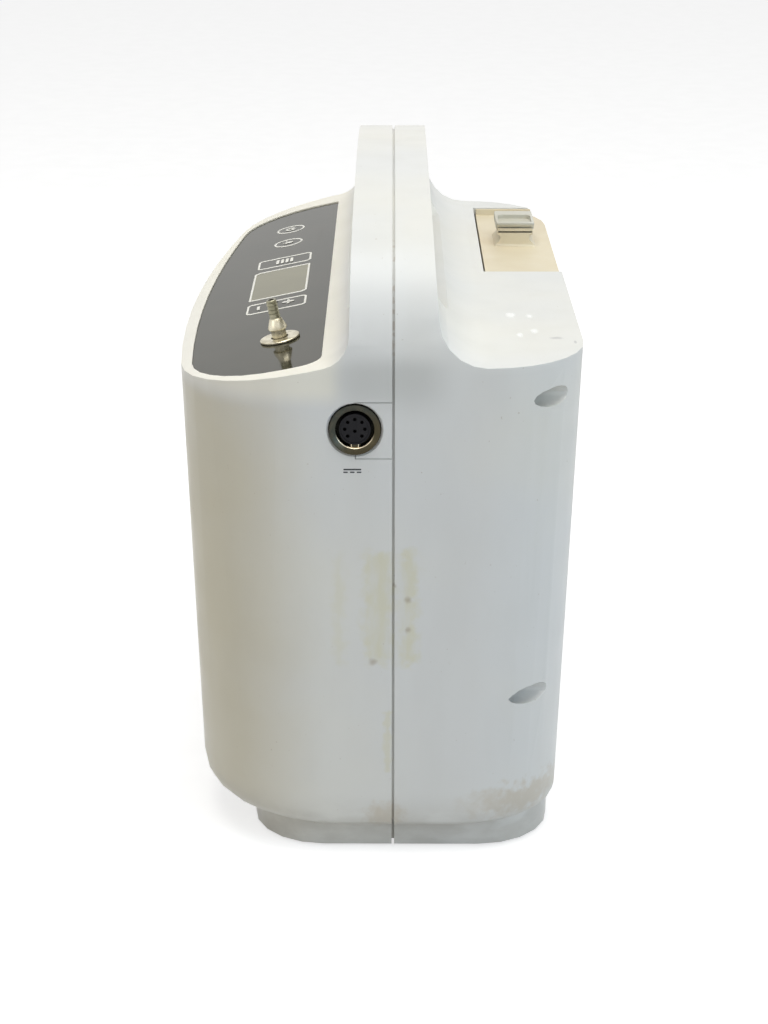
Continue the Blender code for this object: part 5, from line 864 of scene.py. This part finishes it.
spots = [(HOLE_CIRCLE * math.cos(turn), HOLE_CIRCLE * math.sin(turn)) for turn in eighths]
for x, y in [*spots, (0, -0.0008)]:
    let_go()
    bpy.ops.mesh.primitive_cylinder_add(vertices=20, radius=HOLE_RADIUS, depth=HOLE_DEPTH)
    pin = bpy.context.active_object
    pin.location = (x, y, INSULATOR_FACE)
    bpy.ops.object.transform_apply(location=True)
    pins.append(pin)
cut_away(insulator_disc, joined(*pins), "contact_holes")
insulator_disc.matrix_world = socket_place
bpy.ops.object.transform_apply(location=True, rotation=True, scale=True)
bpy.ops.object.shade_smooth_by_angle(angle=math.radians(40))
insulator = moulded("insulator_nylon", INSULATOR_BLACK, INSULATOR_WORN, 0.40, 0.5, 300)
insulator.node_tree.nodes["Principled BSDF"].inputs["Specular IOR Level"].default_value = 0.18
coat(insulator_disc, insulator)
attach(insulator_disc, "unit")
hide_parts("dc_socket_core")


# Supply sign under the socket: one long bar over three short ones, pad-printed in dark grey.
# It is laid on the wall and follows its slight bow.
SIGN_ACROSS = -0.0088
SIGN_HEIGHT = 0.1654
DASH_STEP = 0.0025
DASH_DROP = 0.0011
BEFORE_WALL = -0.155
PRINT_LIFT = 0.00003
DARK_INK = (0.020, 0.022, 0.024)
DARK_INK_THIN = (0.045, 0.047, 0.050)


def dark_print():
    """Dark grey pad-printing ink with slightly uneven cover."""
    finish, tree, shader, place = new_finish("dark_print")
    cover = spread(tree, mottle(tree, place, 900, 3), 0.3, 0.7)
    tree.links.new(tint(tree, cover, DARK_INK, DARK_INK_THIN), shader.inputs["Base Color"])
    tree.links.new(spread(tree, cover, 0, 1, 0.45, 0.6), shader.inputs["Roughness"])
    return finish


dark_ink = dark_print()


def wall_print(piece, name, across, height):
    """A flat drawn shape stood up before the near end wall and pressed onto it."""
    piece.name = name
    upright = Matrix.Rotation(math.radians(90), 4, "X")
    piece.matrix_world = Matrix.Translation((across, BEFORE_WALL, height)) @ upright
    take(piece)
    bpy.ops.object.transform_apply(location=True, rotation=True, scale=True)
    press = piece.modifiers.new("press", "SHRINKWRAP")
    press.target = front_half
    press.wrap_method = "PROJECT"
    press.use_project_x = False
    press.use_project_y = True
    press.use_project_z = False
    press.offset = PRINT_LIFT
    ink_layer(piece)
    coat(piece, dark_ink)
    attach(piece, "unit")


wall_print(stroke(0.0066, 0.00055), "supply_sign_bar", SIGN_ACROSS, SIGN_HEIGHT)
for number in range(3):
    across = SIGN_ACROSS + (number - 1) * DASH_STEP
    wall_print(stroke(0.0017, 0.00050), f"supply_sign_dash_{number}", across, SIGN_HEIGHT - DASH_DROP)


# Battery deck and latch cap: the top of the battery, moulded in ABS that has gone cream.
# The paler cap slides on it to free the battery, over a small ridge on the grip post.
CREAM = (0.78, 0.70, 0.52)
CREAM_DEEP = (0.72, 0.63, 0.46)
CAP_GREY = (0.66, 0.66, 0.60)
CAP_WARM = (0.58, 0.56, 0.47)
CAP_HEIGHT = 0.0038
CAP_GAP = 0.0003
CAP_REACH = 0.0012
CAP_LIP = 0.0010
CAP_UNDERCUT = 0.0034
POST_HEIGHT = 0.0070
FOOT_FILLET = 0.0022
BROW_WIDTH = 0.0016
BROW_HEIGHT = 0.0014
BROW_ROOT = 0.0010
BROW_EDGE = 0.00025
CLOSE = 0.0002

cap_low, cap_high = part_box("battery_latch")
post_front = cap_low.y + CAP_REACH
post_top = cap_high.z - CAP_HEIGHT - CAP_GAP
deck_top = post_top - POST_HEIGHT
cream = moulded("cream_plastic", CREAM, CREAM_DEEP)


def filleted_foot(piece):
    """The foot of the post on the near side, run out into the deck in a fillet."""
    take(piece)
    bpy.ops.object.mode_set(mode="EDIT")
    bpy.ops.mesh.select_mode(type="EDGE")
    bpy.ops.mesh.select_all(action="DESELECT")
    bpy.ops.object.mode_set(mode="OBJECT")
    for edge in piece.data.edges:
        ends = [piece.data.vertices[number].co for number in edge.vertices]
        low_down = all(abs(end.z - deck_top) < CLOSE for end in ends)
        edge.select = low_down and all(abs(end.y - post_front) < CLOSE for end in ends)
    bpy.ops.object.mode_set(mode="EDIT")
    bpy.ops.mesh.bevel(offset=FOOT_FILLET, segments=5)
    bpy.ops.object.mode_set(mode="OBJECT")


deck = smooth_moulding("battery_deck", "battery_top_deck", 0.0005, shape=filleted_foot)
coat(deck, cream)
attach(deck, "battery")
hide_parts("battery_deck")


def undercut_front(piece):
    """The near side of the cap, thin at its lip and sloped back below it."""
    take(piece)
    lip = cap_high.z - CAP_LIP
    low = cap_high.z - CAP_HEIGHT
    bpy.ops.object.mode_set(mode="EDIT")
    bpy.ops.mesh.select_all(action="SELECT")
    bpy.ops.mesh.bisect(plane_co=(0, 0, lip), plane_no=(0, 0, 1))
    bpy.ops.object.mode_set(mode="OBJECT")
    for point in piece.data.vertices:
        if abs(point.co.z - low) < CLOSE and point.co.y < cap_low.y + 0.0016:
            point.co.y += CAP_UNDERCUT


cap = smooth_moulding("battery_latch", "latch_cap", 0.0003, shape=undercut_front)
coat(cap, moulded("cap_plastic_grey", CAP_GREY, CAP_WARM))
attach(cap, "latch")
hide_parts("battery_latch")
let_go()
bpy.ops.mesh.primitive_cube_add(size=1)
brow = bpy.context.active_object
brow.name = "grip_brow"
brow_middle = post_front + BROW_WIDTH / 2
brow.scale = (cap_high.x - cap_low.x - 0.0012, BROW_WIDTH, BROW_HEIGHT + BROW_ROOT)
brow.location = ((cap_high.x + cap_low.x) / 2, brow_middle, post_top + (BROW_HEIGHT - BROW_ROOT) / 2)
bpy.ops.object.transform_apply(location=True, scale=True)
for point in brow.data.vertices:
    if point.co.z > post_top and point.co.y > brow_middle:
        point.co.z = post_top + 0.0001
bpy.ops.object.mode_set(mode="EDIT")
bpy.ops.mesh.select_all(action="SELECT")
bpy.ops.mesh.bevel(offset=BROW_EDGE, segments=2)
bpy.ops.object.mode_set(mode="OBJECT")
coat(brow, cream)
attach(brow, "battery")


# Air inlet: a slotted cover of the housing's plastic over a grey foam filter.
# The cover snaps into the front wall and pulls out so the foam can be washed.
cover = smooth_moulding("inlet_cover", "inlet_grille_cover", 0.0002)
coat(cover, housing)
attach(cover, "cover")
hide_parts("inlet_cover")


FOAM_CELL = (0.012, 0.012, 0.013)
FOAM_WALL = (0.07, 0.07, 0.075)


def open_foam():
    """Charcoal open-cell foam: dark cells between lighter walls."""
    finish, tree, shader, place = new_finish("filter_foam")
    cells = tree.nodes.new("ShaderNodeTexVoronoi")
    cells.inputs["Scale"].default_value = 900
    tree.links.new(place, cells.inputs["Vector"])
    hollow = spread(tree, cells.outputs["Distance"], 0.1, 0.6)
    tree.links.new(tint(tree, hollow, FOAM_CELL, FOAM_WALL), shader.inputs["Base Color"])
    tree.links.new(spread(tree, hollow, 0, 1, 0.85, 0.95), shader.inputs["Roughness"])
    relief(tree, shader, hollow, 0.0004, 0.8)
    return finish


wear_finish("inlet_filter", open_foam())


# Dark mouldings: the battery's plug, the fan and its frame, the speaker and two valves.
# They are glass-filled nylon, nearly black, with a dull skin.
BLACK = (0.014, 0.015, 0.016)
BLACK_WORN = (0.028, 0.028, 0.028)
black = moulded("black_nylon", BLACK, BLACK_WORN, 0.42, 0.58)
for node in ("battery_connector", "fan_frame", "fan_rotor", "speaker"):
    wear_finish(node, black)
for number in (1, 2):
    wear_finish(f"solenoid_valve_{number}", black)


# Grey mouldings: the bay, the battery case, the exhaust grille, the frame inside and the valve block.
# They are polycarbonate blend, mid grey, with a light spark-eroded grain.
MID_GREY = (0.29, 0.29, 0.30)
MID_GREY_DEEP = (0.25, 0.25, 0.255)
grey = moulded("grey_blend", MID_GREY, MID_GREY_DEEP, 0.48, 0.6)
for node in ("battery_bay", "battery_case", "exhaust_grille", "chassis", "valve_block", "lcd_module"):
    wear_finish(node, grey)


# Cast and drawn metal inside: the compressor, the sieve beds, the tank and the nozzle's nut.
# They are aluminium, blasted or as drawn, with no polish.
ALUMINIUM = (0.60, 0.61, 0.62)
ALUMINIUM_DULL = (0.48, 0.49, 0.50)
aluminium = plated_metal("blasted_aluminium", ALUMINIUM, ALUMINIUM_DULL, 0.38, 0.55)
for node in ("compressor_block", "sieve_bed_a", "sieve_bed_b", "product_tank", "barb_nut"):
    wear_finish(node, aluminium)


# Steel: the motor's can, the crank wheel and the four case screws in their wells.
# It is zinc plated and turned or pressed.
ZINC = (0.58, 0.58, 0.56)
ZINC_DULL = (0.42, 0.42, 0.41)
steel = plated_metal("zinc_steel", ZINC, ZINC_DULL, 0.25, 0.42)
for node in ("compressor_motor", "crank_wheel", *[f"case_screw_{number}" for number in range(1, 5)]):
    wear_finish(node, steel)


# Circuit boards: green solder mask over copper tracks, one behind the keys and one in the body.
# The tracks show as slightly lighter lines under the mask.
MASK_GREEN = (0.012, 0.085, 0.030, 1)
MASK_GREEN_LIGHT = (0.016, 0.100, 0.036, 1)
TRACK_GREEN = (0.040, 0.190, 0.080, 1)
PAD_TIN = (0.55, 0.50, 0.32)


def board_finish():
    """Green mask with lighter tracks in two directions and bright pads."""
    finish, tree, shader, place = new_finish("green_board")
    tracks = tree.nodes.new("ShaderNodeTexBrick")
    tracks.inputs["Scale"].default_value = 260
    tracks.inputs["Mortar Size"].default_value = 0.06
    tracks.inputs["Color1"].default_value = MASK_GREEN
    tracks.inputs["Color2"].default_value = MASK_GREEN_LIGHT
    tracks.inputs["Mortar"].default_value = TRACK_GREEN
    tree.links.new(place, tracks.inputs["Vector"])
    pads = spread(tree, mottle(tree, place, 520, 1), 0.70, 0.74)
    tree.links.new(tint(tree, pads, tracks.outputs["Color"], PAD_TIN), shader.inputs["Base Color"])
    tree.links.new(spread(tree, pads, 0, 1, 0.35, 0.25), shader.inputs["Roughness"])
    relief(tree, shader, tracks.outputs["Fac"], 0.00003, 0.5)
    return finish


board = board_finish()
for node in ("main_board", "display_board"):
    wear_finish(node, board)


# Soft parts: the silicone tube to the nozzle, the four feet and the compressor's rubber mounts.
# The feet are stuck in shallow seats under the base.
SILICONE = (0.70, 0.70, 0.66)
SILICONE_DEEP = (0.62, 0.62, 0.58)
RUBBER = (0.020, 0.020, 0.020)
RUBBER_DUSTY = (0.034, 0.033, 0.031)
silicone = moulded("milky_silicone", SILICONE, SILICONE_DEEP, 0.3, 0.42)
wear_finish("outlet_tube", silicone)
rubber = moulded("black_rubber", RUBBER, RUBBER_DUSTY, 0.7, 0.85, 60, 1200, 0.00008)
for number in range(1, 5):
    wear_finish(f"foot_{number}", rubber)
    wear_finish(f"rubber_mount_{number}", rubber)


# Floor, lamps and camera: pale paper with soft light from above and from both sides.
# The camera looks at the near end from a little above.
FLOOR_SIZE = 8
FLOOR_HEIGHT = -0.0002
FLOOR_PALE = (0.56, 0.56, 0.56)
FLOOR_PALER = (0.59, 0.59, 0.59)
FLOOR_GLOW = 0.66
ROOM_LIGHT = 0.395
EYE_PLACE = (0.00580, -0.878, 0.4205)
EYE_TILT = math.radians(69.67)
EYE_TURN = math.radians(0.226)
LENS = 73.97


def seen_straight(tree):
    """1 where the camera sees a thing itself, or in a mirror or through glass; 0 for soft light."""
    ray = tree.nodes.new("ShaderNodeLightPath").outputs
    mirrored = combine(tree, "MAXIMUM", ray["Is Camera Ray"], ray["Is Glossy Ray"])
    return combine(tree, "MAXIMUM", mirrored, ray["Is Transmission Ray"])


def floor_finish():
    """Pale matt paper that shows the object's shadow and turns white towards the camera."""
    finish, tree, shader, place = new_finish("pale_floor")
    tooth = spread(tree, mottle(tree, place, 40, 2), 0.3, 0.7)
    tree.links.new(tint(tree, tooth, FLOOR_PALE, FLOOR_PALER), shader.inputs["Base Color"])
    shader.inputs["Roughness"].default_value = 1.0
    shader.inputs["Specular IOR Level"].default_value = 0.0
    shader.inputs["Emission Color"].default_value = (1, 1, 1, 1)
    tree.links.new(times(tree, seen_straight(tree), FLOOR_GLOW), shader.inputs["Emission Strength"])
    return finish


let_go()
bpy.ops.mesh.primitive_plane_add(size=FLOOR_SIZE, location=(0, 0, FLOOR_HEIGHT))
floor = bpy.context.active_object
floor.name = "studio_floor"
bpy.ops.object.transform_apply(location=True)
coat(floor, floor_finish())

world = bpy.data.worlds.new("studio")
bpy.context.scene.world = world
world.use_nodes = True
sky = world.node_tree
back = sky.nodes["Background"]
back.inputs["Color"].default_value = (1, 1, 1, 1)
sky.links.new(spread(sky, seen_straight(sky), 0, 1, ROOM_LIGHT, 1.0), back.inputs["Strength"])


def lamp(name, place, aim, size, power, colour):
    """A soft square lamp turned to a point."""
    light = bpy.data.lights.new(name, "AREA")
    light.size = size
    light.energy = power
    light.color = colour
    holder = bpy.data.objects.new(name, light)
    bpy.context.scene.collection.objects.link(holder)
    holder.location = place
    holder.rotation_euler = (Vector(aim) - Vector(place)).to_track_quat("-Z", "Y").to_euler()


lamp("top_lamp", (0.05, -0.25, 1.60), (0, 0, 0.15), 1.1, 14, (1.0, 0.98, 0.93))
lamp("left_lamp", (-1.3, -0.9, 0.8), (0, 0, 0.12), 0.9, 2, (1.0, 0.96, 0.88))
lamp("right_lamp", (1.3, -1.0, 0.8), (0, 0, 0.12), 0.9, 6.5, (0.62, 0.82, 1.0))

eye = bpy.data.cameras.new("photo_camera")
eye.lens = LENS
eye.sensor_width = 36
eye.clip_start = 0.01
camera = bpy.data.objects.new("photo_camera", eye)
bpy.context.scene.collection.objects.link(camera)
camera.location = EYE_PLACE
camera.rotation_euler = (EYE_TILT, 0, EYE_TURN)
bpy.context.scene.camera = camera
bpy.context.scene.view_settings.view_transform = "Standard"
